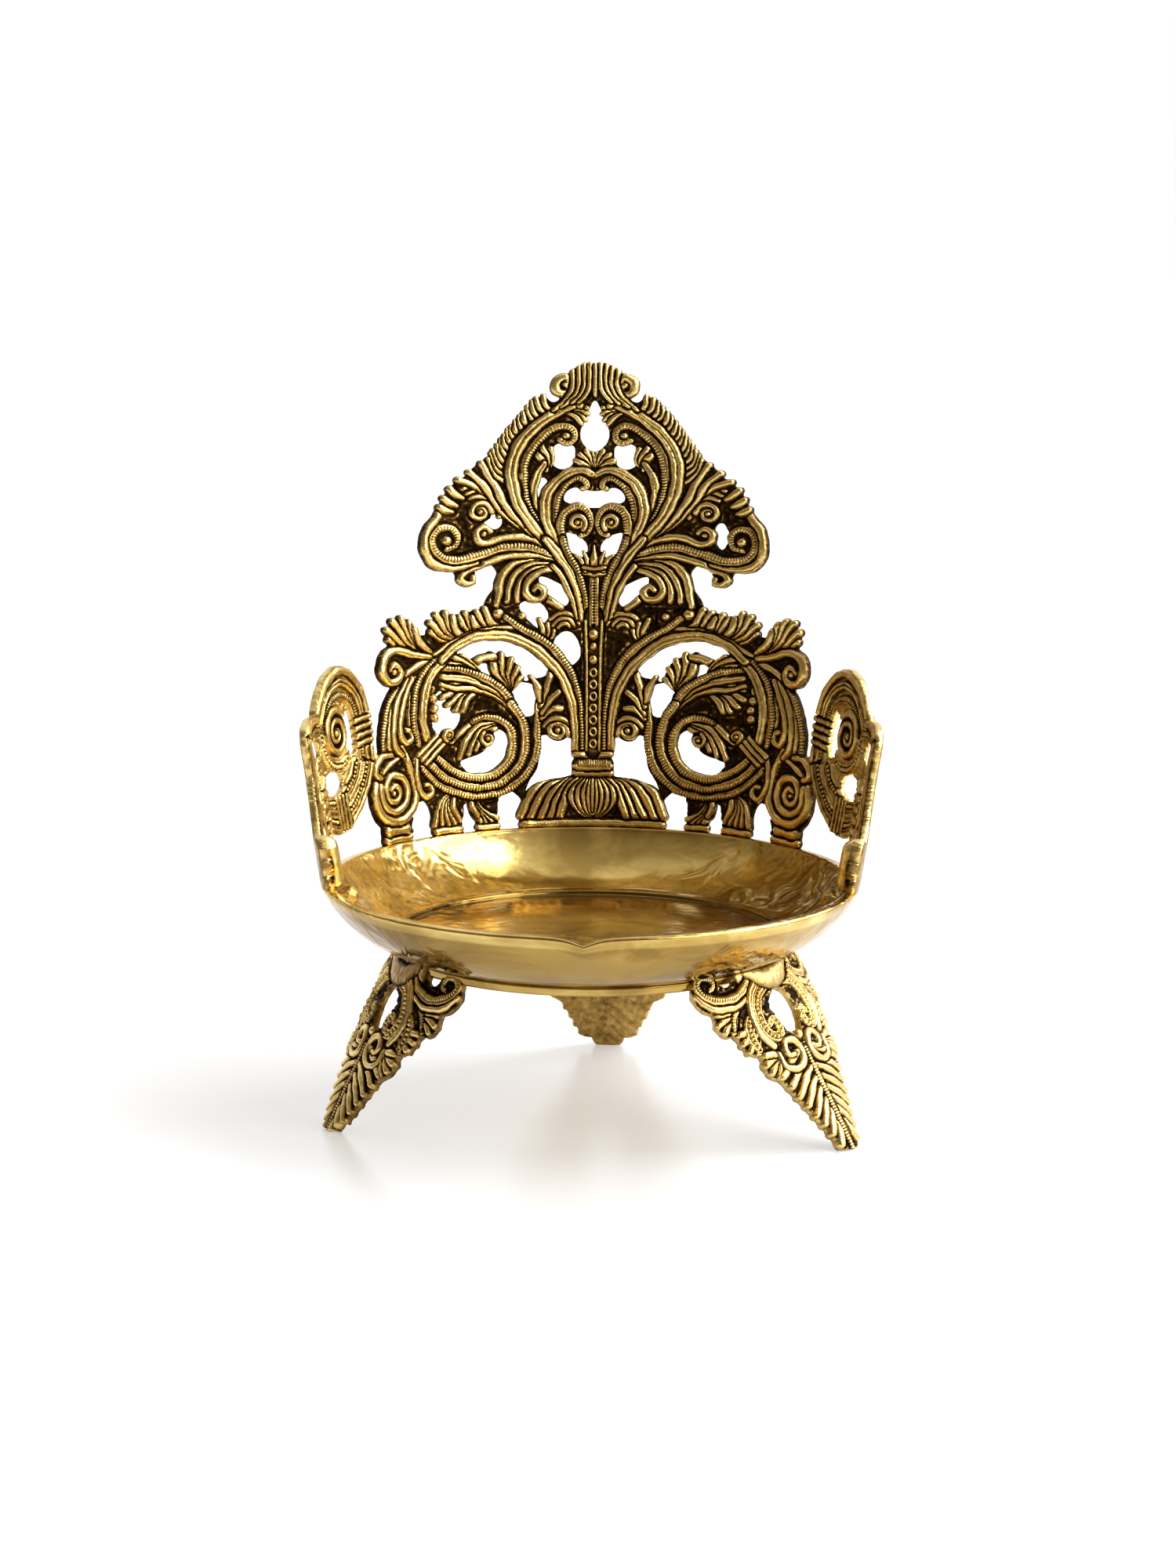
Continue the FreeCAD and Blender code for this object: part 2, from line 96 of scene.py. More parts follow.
class Sheet:
    """A drawn relief on a grid: its height, the signed distance inside its outline, the length along
    the stroke on top, how milled that stroke is, and how bare the ground is."""

    def __init__(self, low, high, sway=0.0):
        self.sway = sway
        self.w = np.arange(low[0], high[0] + STEP / 2, STEP)
        self.v = np.arange(low[1], high[1] + STEP / 2, STEP)
        shape = (len(self.v), len(self.w))
        self.height, self.inside = np.full(shape, GROUND), np.full(shape, OUTSIDE)
        self.along, self.milled, self.ground = (np.zeros(shape) for _ in range(3))

    def window(self, low, high):
        """The part of the sheet in a box: its slices and its coordinates."""
        columns = np.searchsorted(self.w, (low[0], high[0]))
        rows = np.searchsorted(self.v, (low[1], high[1]))
        where = (slice(*rows), slice(*columns))
        w, v = np.meshgrid(self.w[where[1]], self.v[where[0]])
        return where, *self.unsteady(w, v)

    def unsteady(self, w, v):
        """The hand of the carver: shifts the drawing a little, but not at the centre line."""
        sway = self.sway
        reach = HAND * np.clip(np.abs(w) / 6.0, 0.0, 1.0)
        shift_w = np.sin(0.83 * v + 0.31 * w + sway) + 0.6 * np.sin(1.9 * v - 1.1 * w + 2.0 * sway)
        shift_v = np.sin(0.91 * w - 0.37 * v + 1.7 * sway) + 0.6 * np.sin(2.1 * w + 1.3 * v + sway)
        return w + reach * shift_w, v + reach * shift_v

    def lay(self, where, edge, height, along=0.0, milled=0.0):
        """Puts a shape over what is drawn. edge is the distance inside its outline."""
        trench = GROOVE + GROOVE_SLOPE * np.clip(-edge, 0.0, 3.0)
        below = np.minimum(self.height[where], trench)
        self.height[where] = np.where(edge > 0, height, below)
        self.inside[where] = np.maximum(self.inside[where], edge)
        self.along[where] = np.where(edge > 0, along, self.along[where])
        self.milled[where] = np.where(edge > 0, milled, self.milled[where])

    def rib(self, points, widths, kind="plain", relief=None):
        """A rounded ridge along a curve. widths are half-widths, spaced evenly along it."""
        path = smooth_path(points)
        widths = FULLNESS * np.atleast_1d(np.array(widths, float))
        lengths = np.concatenate([[0.0], np.cumsum(np.linalg.norm(np.diff(path, axis=0), axis=1))])
        reach = widths.max() + MARGIN
        where, w, v = self.window(path.min(0) - reach, path.max(0) + reach)
        nearest = np.full(w.shape, 1e9)
        along, side = np.zeros(w.shape), np.zeros(w.shape)
        for a, b, start in zip(path, path[1:], lengths):
            run = b - a
            square = max(float(run @ run), 1e-12)
            t = np.clip(((w - a[0]) * run[0] + (v - a[1]) * run[1]) / square, 0.0, 1.0)
            distance = (w - a[0] - t * run[0]) ** 2 + (v - a[1] - t * run[1]) ** 2
            closer = distance < nearest
            nearest = np.where(closer, distance, nearest)
            along = np.where(closer, start + t * math.sqrt(square), along)
            side = np.where(closer, run[0] * (v - a[1]) - run[1] * (w - a[0]), side)
        distance = np.sqrt(nearest)
        half_width = np.interp(along / lengths[-1], np.linspace(0, 1, len(widths)), widths)
        half_width = half_width * (1.0 + 0.045 * np.sin(1.3 * along + 3.0 * path[0][0]))
        across = np.sign(side) * distance / half_width
        milled = np.clip(2.0 + 5.0 * across, 0.0, 1.0) if kind == "bead" else 0.0
        height = self.section(kind, across, half_width, along, relief)
        self.lay(where, half_width - distance, height, along, milled)

    @staticmethod
    def section(kind, across, half_width, along, relief):
        """The height across a stroke of each kind. across runs from -1 to 1 over its width."""
        if relief is None:
            relief = np.clip(0.45 + 0.65 * half_width, 0.4, 1.25)
        shape = crown(across)
        if kind == "groove":
            shape = shape - 0.45 * np.exp(-(across * half_width / 0.22) ** 2)
        elif kind == "bead":
            beads = np.abs(np.sin(math.pi * along / MILLING)) ** 0.8
            shape = shape - 0.35 * np.exp(-((across + 0.4) * half_width / 0.18) ** 2)
            shape = shape - np.clip(2.0 + 5.0 * across, 0.0, 1.0) * (0.12 + 0.22 * (1.0 - beads))
        elif kind == "dots":
            dots = crown(np.clip(across / 0.55, -1.0, 1.0)) * np.abs(np.sin(math.pi * along / PEARLS)) ** 0.6
            rails = crown(np.clip((np.abs(across) - 0.82) / 0.2, -1.0, 1.0))
            shape = np.maximum(0.9 * dots, 0.8 * rails)
        return STROKE_FOOT + relief * shape

    def fan(self, root, tips, width, bend=0.15):
        """A leaf of ribs that leave one root, swell, and end in rounded tips."""
        root = np.array(root, float)
        for tip in tips:
            tip = np.array(tip, float)
            run = tip - root
            belly = root + run * 0.5 + np.array([-run[1], run[0]]) * bend
            self.rib([root, belly, tip], (width * 0.55, width * 0.9, width, width * 0.8))

    def arcs(self, centre, radii, start, end, width):
        """Concentric ribs. Angles are degrees, anticlockwise from the +w direction."""
        angles = np.radians(np.linspace(start, end, 9))
        for radius in radii:
            points = [polar(centre, radius, angle) for angle in angles]
            self.rib(points, (width * 0.7, width, width, width * 0.7))

    def around(self, centre, radius):
        """The window round a point, with each place's distance from the point."""
        where, w, v = self.window(np.array(centre) - radius - MARGIN, np.array(centre) + radius + MARGIN)
        return where, np.hypot(w - centre[0], v - centre[1])

    def ball(self, centre, radius, relief=None):
        """A round boss."""
        where, distance = self.around(centre, radius)
        relief = min(1.2, 0.35 + 0.7 * radius) if relief is None else relief
        self.lay(where, radius - distance, STROKE_FOOT + relief * crown(distance / radius))

    def ring(self, centre, radius, tube):
        """A round hoop, tube in half-width."""
        where, distance = self.around(centre, radius + tube)
        distance = np.abs(distance - radius)
        self.lay(where, tube - distance, STROKE_FOOT + 0.7 * crown(np.clip(distance / tube, 0, 1)))

    def whorl(self, centre, radius, start, turns, width):
        """A spiral ribbon that winds in to a ball. A negative number of turns winds clockwise."""
        count = max(8, int(abs(turns) * 12))
        shares = [i / count for i in range(count + 1)]
        points = [polar(centre, radius * (1 - share) + width * 0.9 * share,
                        math.radians(start) + 2 * math.pi * turns * share) for share in shares]
        self.ball(centre, radius, relief=0.15)
        self.rib(points, (width, width * 0.85, width * 0.6))
        self.ball(centre, width * 0.95, relief=1.0)

    def feather(self, roots, tips, count, width, bend):
        """A row of short ribs between two curves."""
        roots, tips = smooth_path(roots), smooth_path(tips)
        for share in np.linspace(0, 1, count):
            root, tip = (curve[int(round(share * (len(curve) - 1)))] for curve in (roots, tips))
            self.fan(root, [tip], width, bend)


# ---- The back screen's ornament, one half ----


def draw_feet(sheet):
    """The leaves and pads that stand on the rim under the scroll panel."""
    rib = sheet.rib
    sheet.fan((32.4, 9.4), [(38.2, 2.4), (36.4, 1.8), (34.6, 1.8), (33, 2.2), (31.7, 3)], 0.8, bend=0.16)
    rib([(31.6, 1), (38, 1)], 0.75)
    sheet.fan((28, 8), [(22.4, 2.6), (23.8, 1.8), (25.2, 1.8), (26.5, 2.2), (27.3, 3.6)], 0.75, bend=0.16)
    rib([(22.4, 0.9), (27.2, 0.9)], 0.65)
    rib([(45.6, 1), (52.6, 1)], 0.95)
    rib([(46.6, 3), (52, 3)], 1.25)
    rib([(45.4, 20.6), (43.9, 17), (42.9, 12.6), (43.1, 8.4), (46, 5.4), (50.4, 4.9), (54, 7.2),
         (55.2, 10.6), (54.4, 13.4)], (0.7, 0.9, 1, 1.1, 1))
    rib([(53, 13), (52.8, 9.2), (49.8, 7), (46.2, 8.2), (45, 11.4), (46.2, 14.2), (49.4, 14.8), (51.4, 12.6),
         (50.8, 9.8), (48.6, 9.2), (47.2, 10.8), (48.2, 12.6), (49.6, 12)], (0.9, 0.9, 0.8, 0.6))
    sheet.ball((49, 11), 0.7)


def draw_outer_foliage(sheet):
    """The ribbed leaves along the outer edge of the scroll panel."""
    rib = sheet.rib
    rib([(43, 34.6), (46.8, 31.2), (49, 27.2), (50.2, 23.4), (50.6, 20.4)], (0.7, 0.9, 0.9, 0.7), "bead")
    rib([(43.6, 33.6), (46.6, 29.6), (48.4, 25.4), (48.9, 21.4), (48.2, 18.6)], (0.5, 0.7, 0.6))
    rib([(41.6, 35.2), (44.6, 31.8), (46.4, 27.8), (47.2, 23.6), (46.8, 20.6), (45.4, 19)], (0.6, 0.9, 0.7))
    rib([(39.8, 35.4), (41.2, 31.4), (42.2, 27.6), (42.2, 24.6)], (0.5, 0.65, 0.4))
    rib([(40.6, 35.4), (43, 31.4), (44.7, 27.4), (45.2, 23.8), (44, 21.5), (42.2, 22.2), (42.1, 23.9),
         (43.2, 24.2)], (0.6, 0.8, 0.8, 0.6))
    rib([(48.6, 19.4), (51.4, 19.4), (53.6, 17.8), (54, 15.8), (52.6, 15)], (0.6, 0.8, 0.7))
    rib([(46.8, 18.4), (49.6, 17.2), (51.6, 16)], (0.5, 0.7, 0.5))
    rib([(41.2, 18.2), (42, 14.2), (41.4, 10.6), (39.7, 8.9), (38.1, 9.8), (38.4, 11.6), (39.8, 11.6)],
        (0.5, 0.8, 0.7, 0.5))


def draw_arch_foliage(sheet):
    """The four scalloped leaves above the arch and the volute at its shoulder."""
    rib, fan = sheet.rib, sheet.fan
    fan((18.4, 43.6), [(24.6, 46.8), (24.6, 48.8), (22.8, 49.4)], 0.85, bend=-0.14)
    fan((22.4, 43.6), [(28.9, 46), (28.6, 47.8), (27, 48.6), (25.6, 47.6)], 0.85, bend=-0.14)
    fan((27.4, 43.2), [(35, 45.2), (35, 47.2), (33.4, 48.8), (31.4, 49.2), (29.9, 48)], 0.9, bend=-0.14)
    fan((35.4, 40.8), [(45.4, 44.6), (45.6, 46.8), (44, 48.6), (41.8, 48.8), (40, 47.8), (38.8, 46)],
        0.9, bend=-0.12)
    sheet.ball((20, 48.1), 1.3)
    rib([(35.2, 38.8), (38.8, 38.2), (42.4, 36.4)], (0.5, 0.8, 0.6))
    rib([(35.4, 39.6), (39.6, 40.6), (43.6, 42), (46.8, 41.2), (48.2, 38.2), (47, 35.6), (44.6, 35.4),
         (43.3, 37.2), (44.4, 38.9), (45.8, 38)], (0.6, 0.9, 1, 0.9, 0.6))
    sheet.ball((45, 37.3), 0.8)
    rib([(34.6, 40.2), (30, 42.4), (25, 44.2), (20, 44.9), (16.4, 44.8)], (0.5, 0.6, 0.6, 0.4))


def draw_panel_leaves(sheet):
    """The leaves inside the arch, above and inside the scroll."""
    rib, fan = sheet.rib, sheet.fan
    fan((18.6, 30.6), [(15.8, 33.6), (16.4, 35.8), (17.8, 37.8), (19.8, 39.2), (22, 39.2)], 0.85, bend=-0.1)
    rib([(21.4, 38.6), (23.8, 38.4), (26.2, 37.2), (27.6, 36.2)], (0.8, 0.9, 0.8))
    fan((24.6, 33.4), [(26.8, 37.6), (28.4, 39.2), (30.4, 39.2), (32.2, 37.8)], 0.8, bend=0.1)
    fan((25.8, 30.8), [(33.2, 32.6), (33.6, 30.4), (32.4, 28.6), (30.6, 27.4), (29, 27.2)], 0.85, bend=0.12)
    rib([(16.4, 24.6), (18.8, 28), (22.4, 30.6), (26.4, 31.8), (30.4, 32.2), (33.6, 33.4)], (0.8, 0.8, 0.5))
    rib([(17, 26), (19.6, 29.8), (23.4, 32.4), (28, 34), (33, 35)], (0.8, 0.95, 0.6), "groove")
    rib([(17.4, 27.2), (20.4, 31.6), (24.4, 34.4), (28.8, 36.2), (33, 37)], (0.9, 0.9, 0.6), "bead")
    rib([(22, 24.2), (26, 24.4), (29.6, 22.4), (32.2, 20.6)], (0.8, 0.9, 0.6))
    rib([(22, 23.6), (26, 23), (28.8, 20.4), (30.6, 16.8)], (0.6, 0.9, 0.9, 0.6))
    rib([(22, 23), (25.2, 22), (27.2, 19.8), (28.4, 17.4)], (0.6, 0.8, 0.8, 0.6))
    rib([(21.8, 22.6), (24.4, 21.4), (25.8, 19.8), (26.6, 18.2)], (0.6, 0.75, 0.6))
    sheet.whorl((23.7, 20.4), 1.7, 60, -1.1, 0.55)
    sheet.whorl((32.6, 22), 1.4, 300, 1, 0.55)


def draw_scroll(sheet):
    """The three beaded ridges of the big scroll, its cuff and the outer arch band."""
    rib = sheet.rib
    for place in [(36.2, 32.6), (35.8, 30.4), (35.6, 28.2), (35.8, 26.2)]:
        sheet.ball(place, 1.05)
    rib([(34.6, 39), (38.4, 35.2), (40.5, 30.6), (41.2, 25.6), (40.6, 20.8)], (0.7, 0.9, 0.9, 0.7), "bead")
    rib([(32.4, 38.6), (35.8, 35.6), (38, 31.4), (38.9, 26.6), (38.4, 21.8)], (0.8, 1.1, 1.1, 0.9), "groove")
    rib([(40.4, 15.4), (36.2, 11.2), (31.6, 8.9), (26.4, 7.9), (21, 8.5), (16.8, 10.7), (13.9, 14.4),
         (12.7, 18.8), (12.6, 23.4), (12, 28.4)], (0.7, 0.85, 0.85, 0.7), "bead")
    rib([(38.4, 16.4), (35, 12.9), (31, 10.8), (26.4, 9.8), (21.6, 10.4), (18, 12.8), (15.8, 16.4),
         (15.2, 20.4), (16, 24.4), (18.2, 28)], (0.85, 1, 1, 0.9), "bead")
    rib([(36.8, 17.8), (33.6, 14.8), (30, 12.7), (26, 11.8), (22, 12.7), (19.2, 15.2), (18, 18.8),
         (18.5, 22.2), (20.8, 24.6), (24, 25.3), (27, 24.6)], (0.8, 0.95, 1, 0.9, 0.6), "bead")
    for shift in range(3):
        rib([(40.8 - 0.9 * shift, 18.4 - shift), (35.8 - 0.8 * shift, 22 - shift)], 0.6)


def draw_column_side(sheet):
    """The arch's two stems and the leaves between them and the column."""
    rib = sheet.rib
    sheet.arcs((6.8, 44.4), (3.4, 2.2, 1.1), 15, 165, 0.55)
    sheet.fan((11.2, 41), [(8.8, 44), (10, 45.6), (11.8, 46.6)], 0.6, bend=0.1)
    sheet.ball((15.2, 47.4), 0.95)
    for points in [[(11.8, 24.4), (9.8, 26.4), (7.6, 26.6)], [(11.8, 25.4), (10, 28.4), (7.9, 30.3)]]:
        rib(points, (0.5, 0.75, 0.7))
    rib([(11.9, 27), (10.8, 30.8), (9.6, 34.4)], (0.5, 0.8, 0.7))
    rib([(12, 28.2), (12.4, 31.4), (13.8, 33.8)], (0.5, 0.8, 0.5))
    sheet.whorl((8.3, 21.6), 2.4, 200, -1.4, 0.8)
    sheet.arcs((8.4, 21.2), (3.2,), 25, 150, 0.6)
    rib([(3, 17.2), (3.2, 24), (3.9, 30), (5.7, 35), (8.6, 39.4), (12.2, 42.6), (15.6, 44.8), (18.4, 47.2)],
        (0.7, 0.85, 0.9, 0.7), "bead")
    rib([(4.6, 17.2), (4.7, 23), (5.5, 28.6), (7.4, 33.6), (10.4, 37.8), (14.4, 41.2), (19.4, 43.2),
         (25, 43.2), (29.6, 41.4), (33, 38.8)], (0.8, 1, 1.1, 1.1, 0.9), "groove")


def draw_crest_side(sheet):
    """The lower leaf, the side stems with the big curl, and the leaf above it."""
    rib = sheet.rib
    rib([(10.6, 51.8), (9, 50.2), (7.4, 49)], (0.7, 0.8, 0.7))
    rib([(8.6, 58.9), (12.6, 60.1), (16.6, 59), (19.1, 56), (19.8, 52.6), (20.4, 50)], (0.6, 0.8, 0.9, 0.7))
    rib([(8.8, 58.5), (12.6, 58.8), (15.8, 57.3), (17.6, 54.2), (18.1, 50.8)], (0.5, 0.75, 0.75, 0.6))
    rib([(9, 58), (12.4, 57.7), (14.8, 56), (16, 53.4), (16, 50.8)], (0.5, 0.7, 0.7, 0.6))
    rib([(9.2, 57.6), (11.8, 56.9), (13.8, 55.2), (14.4, 52.8), (13.2, 51.1), (11.3, 51.2), (10.6, 52.8),
         (11.8, 54), (12.7, 53.1)], (0.6, 0.8, 0.8, 0.6))
    rib([(7.8, 60), (11.6, 60.8), (15.4, 61), (19.2, 60.4), (23, 59.2), (26.4, 57.8), (27.6, 56.4),
         (26.4, 55.2), (24.9, 55.4), (24.9, 56.5)], (0.6, 0.8, 0.8, 0.6))
    rib([(24, 59.6), (28.6, 58.8), (32.4, 59.6), (34.3, 61.8), (34.6, 64.8), (33.6, 67.8), (31.8, 70),
         (30.6, 71.6)], (0.6, 0.85, 0.9, 0.8))
    rib([(7.6, 60.6), (11.2, 62), (15, 62.9), (19, 62.7), (23, 61.5), (26.8, 60.6), (30.4, 61), (32.6, 63),
         (32.8, 65.8), (31.2, 67.7), (28.8, 67.6), (27.6, 65.8), (28.3, 63.7), (30.1, 63.2)],
        (0.8, 1, 1, 0.8, 0.6), "bead")
    sheet.ball((29.9, 65), 1.1)
    rib([(7.4, 61.2), (10.6, 63.4), (14.2, 64.9), (18, 65), (21.4, 63.9), (23.3, 64.4), (23.7, 66.4),
         (22.2, 67.5), (20.9, 66.4)], (0.6, 0.85, 0.8, 0.6))
    sheet.ball((22.2, 66), 0.7)
    for root, tip in [((26, 74.2), (28.4, 76.4)), ((27.4, 72.6), (29.8, 74.4)),
                      ((28.4, 71.2), (30.8, 72.4))]:
        sheet.fan(root, [tip], 0.9, bend=-0.1)
    sheet.arcs((22.6, 70.6), (6.4, 5.1, 3.8), 195, 60, 0.62)
    sheet.whorl((22.6, 70.8), 2.4, 180, -1.4, 0.62)
    rib([(19.6, 73), (22.6, 76.2), (26.6, 78.2)], (0.5, 0.8, 0.7))
    for points in [[(13.6, 66), (17.2, 69.6), (19.8, 73.4), (21.8, 77), (24.4, 79.8)],
                   [(12.6, 65.4), (15.8, 69.2), (18.2, 73), (19.8, 77.2), (22, 81.6)]]:
        rib(points, (0.5, 0.8, 0.9, 0.7))


def draw_crest_stems(sheet):
    """The feathered edge, the S-stems, the heart, and the palmette at the tip."""
    rib, fan = sheet.rib, sheet.fan
    sheet.feather([(15.8, 76), (16, 80), (15, 84.2), (12.8, 88), (9.8, 91.2), (8.4, 92.4)],
                  [(20.6, 82.6), (19.2, 85), (17, 88.2), (14.4, 92), (11.8, 95.4), (10, 96.4)],
                  15, 0.56, -0.14)
    fan((9.8, 79.6), [(8.9, 84.6), (10.6, 85.2), (11.8, 83.8)], 0.7, bend=0.1)
    rib([(7.8, 62), (10.4, 66.4), (12.1, 70.4), (12.4, 74.6), (11.6, 78.4), (10, 81.4)],
        (0.6, 0.9, 1, 0.9, 0.5), "groove")
    rib([(6.8, 61.2), (9.8, 65.4), (12.8, 70.2), (13.9, 74.8), (14, 79.4), (13.1, 83.2), (11, 86.6),
         (8.6, 88.8), (6.4, 89.5), (4.8, 88.6), (4.6, 86.8), (5.8, 85.7), (7.2, 86.4)],
        (0.6, 0.8, 0.9, 0.9, 0.8, 0.6), "bead")
    sheet.ball((6.1, 87.4), 0.8)
    fan((5.6, 92.4), [(1.7, 93.6), (1.5, 92.2), (2, 90.8), (3, 89.9)], 0.6, bend=-0.1)
    rib([(7.6, 60.8), (11.2, 65.4), (14.6, 70.8), (16, 75.6), (16.3, 80), (15.2, 84.4), (12.8, 88.2),
         (9.6, 91.2), (6.6, 93.2), (3.6, 94.8)], (0.8, 1.1, 1.25, 1.25, 1.1, 0.8), "groove")
    rib([(3.2, 94), (4.6, 96.4), (5, 99.2), (6.2, 100.4), (7.7, 99.2), (7.6, 97.2), (6, 96.6), (5.3, 97.8),
         (6.2, 98.8)], (0.7, 0.85, 0.85, 0.6))
    for points in [[(4.6, 101.6), (4.6, 98.6), (5.8, 95.8), (8.4, 93)],
                   [(3.5, 102.4), (3.4, 98.8), (4.5, 96), (6.8, 93.8)],
                   [(2.3, 102.9), (2.2, 99.2), (3.2, 96.4), (5, 94.6)],
                   [(1.1, 103.1), (1.1, 99.4), (1.9, 96.8), (3.6, 94.8)]]:
        rib(points, (0.72, 0.66, 0.56, 0.4))
    rib([(0, 96.4), (0, 103.1)], (0.45, 0.6, 0.5))
    fan((1, 79.6), [(0.7, 83.2), (2, 84), (3.4, 83.2), (4.2, 81.8)], 0.75, bend=0.06)
    rib([(7.4, 65), (8.2, 69), (7.9, 73), (6.4, 76.2), (4.4, 77.8), (2.4, 77.4), (1.8, 76.2), (2.8, 75.6)],
        (0.5, 0.7, 0.8, 0.6), "bead")
    rib([(6.6, 61.6), (9, 65.6), (10.2, 70), (9.8, 74), (8, 77.2), (5.4, 79.2), (2.6, 79.7), (0.6, 78.8)],
        (0.6, 0.95, 1.1, 1, 0.7), "groove")
    rib([(5.6, 60.4), (6.8, 64), (7.2, 67.6), (6.2, 70.4), (4, 71.6), (1.8, 70.6), (0.9, 68.2), (1.6, 66),
         (3.2, 65.2)], (0.6, 0.8, 0.9, 0.8, 0.6), "bead")
    sheet.whorl((3.9, 68), 2, 230, -1.3, 0.62)
    rib([(3.9, 46.8), (5.2, 51.4), (6.8, 55.4), (8.8, 58.4)], (0.6, 0.75, 0.6))
    rib([(2.7, 46.6), (3.6, 52.2), (5.2, 56.6), (7.6, 60.8), (10.2, 64.4)], (0.8, 1.1, 1.1, 0.8), "groove")
    rib([(1.6, 47.6), (2.5, 53), (3.9, 57.2), (5.9, 61.2), (7, 64.6)], (0.6, 0.75, 0.75, 0.6), "bead")


def draw_column(sheet):
    """The fluted column with its chain of rings, its crown, its collar and its bell foot."""
    rib = sheet.rib
    for tip, root, bulge in [((17, 2.8), 4.6, (14, 8.2)), ((15, 2.2), 4.2, (11.8, 8)),
                             ((12.8, 1.9), 3.8, (9.6, 7.6)), ((10.6, 1.8), 3.4, (8, 7.2)),
                             ((8.6, 1.8), 3, (6.8, 6.8))]:
        rib([(root, 11), ((root + bulge[0]) * 0.52, 9.8), bulge, tip], (0.5, 0.9, 1, 0.9))
    for bulge, foot, width in [(5.6, 2, 0.75), (4.1, 2.2, 0.7), (2.6, 2.6, 0.65), (1.2, 3, 0.6)]:
        rib([(0.35 * bulge, 11.2), (0.9 * bulge, 8.6), (bulge, 6.2), (0.7 * bulge, 4), (0.1 * bulge, foot)],
            (0.4, width, width, 0.5))
    rib([(0, 11), (0, 3.6)], (0.4, 0.6, 0.4))
    rib([(0, 0.9), (16.6, 0.9)], 0.85)
    rib([(0, 12), (4.6, 12)], 0.75)
    rib([(0, 14), (4, 14)], 1.35, "bead")
    rib([(0, 16.2), (4.6, 16.2)], 0.75)
    rib([(0, 17.2), (0, 47)], (1.75, 1.75, 1.9, 2.1), relief=0.35)
    rib([(1.75, 17.2), (1.75, 36), (2.1, 46)], 0.42)
    for step in range(7):
        sheet.ring((0, 18.6 + 2.65 * step), 0.85, 0.38)
    for height, radius in [(37.4, 1.2), (40.4, 1), (43, 1.35)]:
        sheet.ball((0, height), radius)
    rib([(0.55, 45.4), (0.55, 55.6)], 0.6, "bead")
    rib([(0, 56.4), (2.4, 56.8)], 0.55)
    rib([(2.2, 57.6), (3.2, 59.6), (4.6, 60.8)], (0.7, 0.6, 0.3))
    rib([(1.2, 57.8), (1.8, 60), (2.6, 61.6)], (0.7, 0.65, 0.3))
    rib([(0, 57.6), (0, 60.2), (0, 62.8)], (0.8, 0.95, 0.3))
    rib([(0, 57.6), (2.7, 58)], 0.45)


def draw_screen(sheet):
    for draw in (draw_feet, draw_outer_foliage, draw_arch_foliage, draw_panel_leaves, draw_scroll,
                 draw_column_side, draw_crest_side, draw_crest_stems, draw_column):
        draw(sheet)


# ---- The wings' and the legs' ornament ----


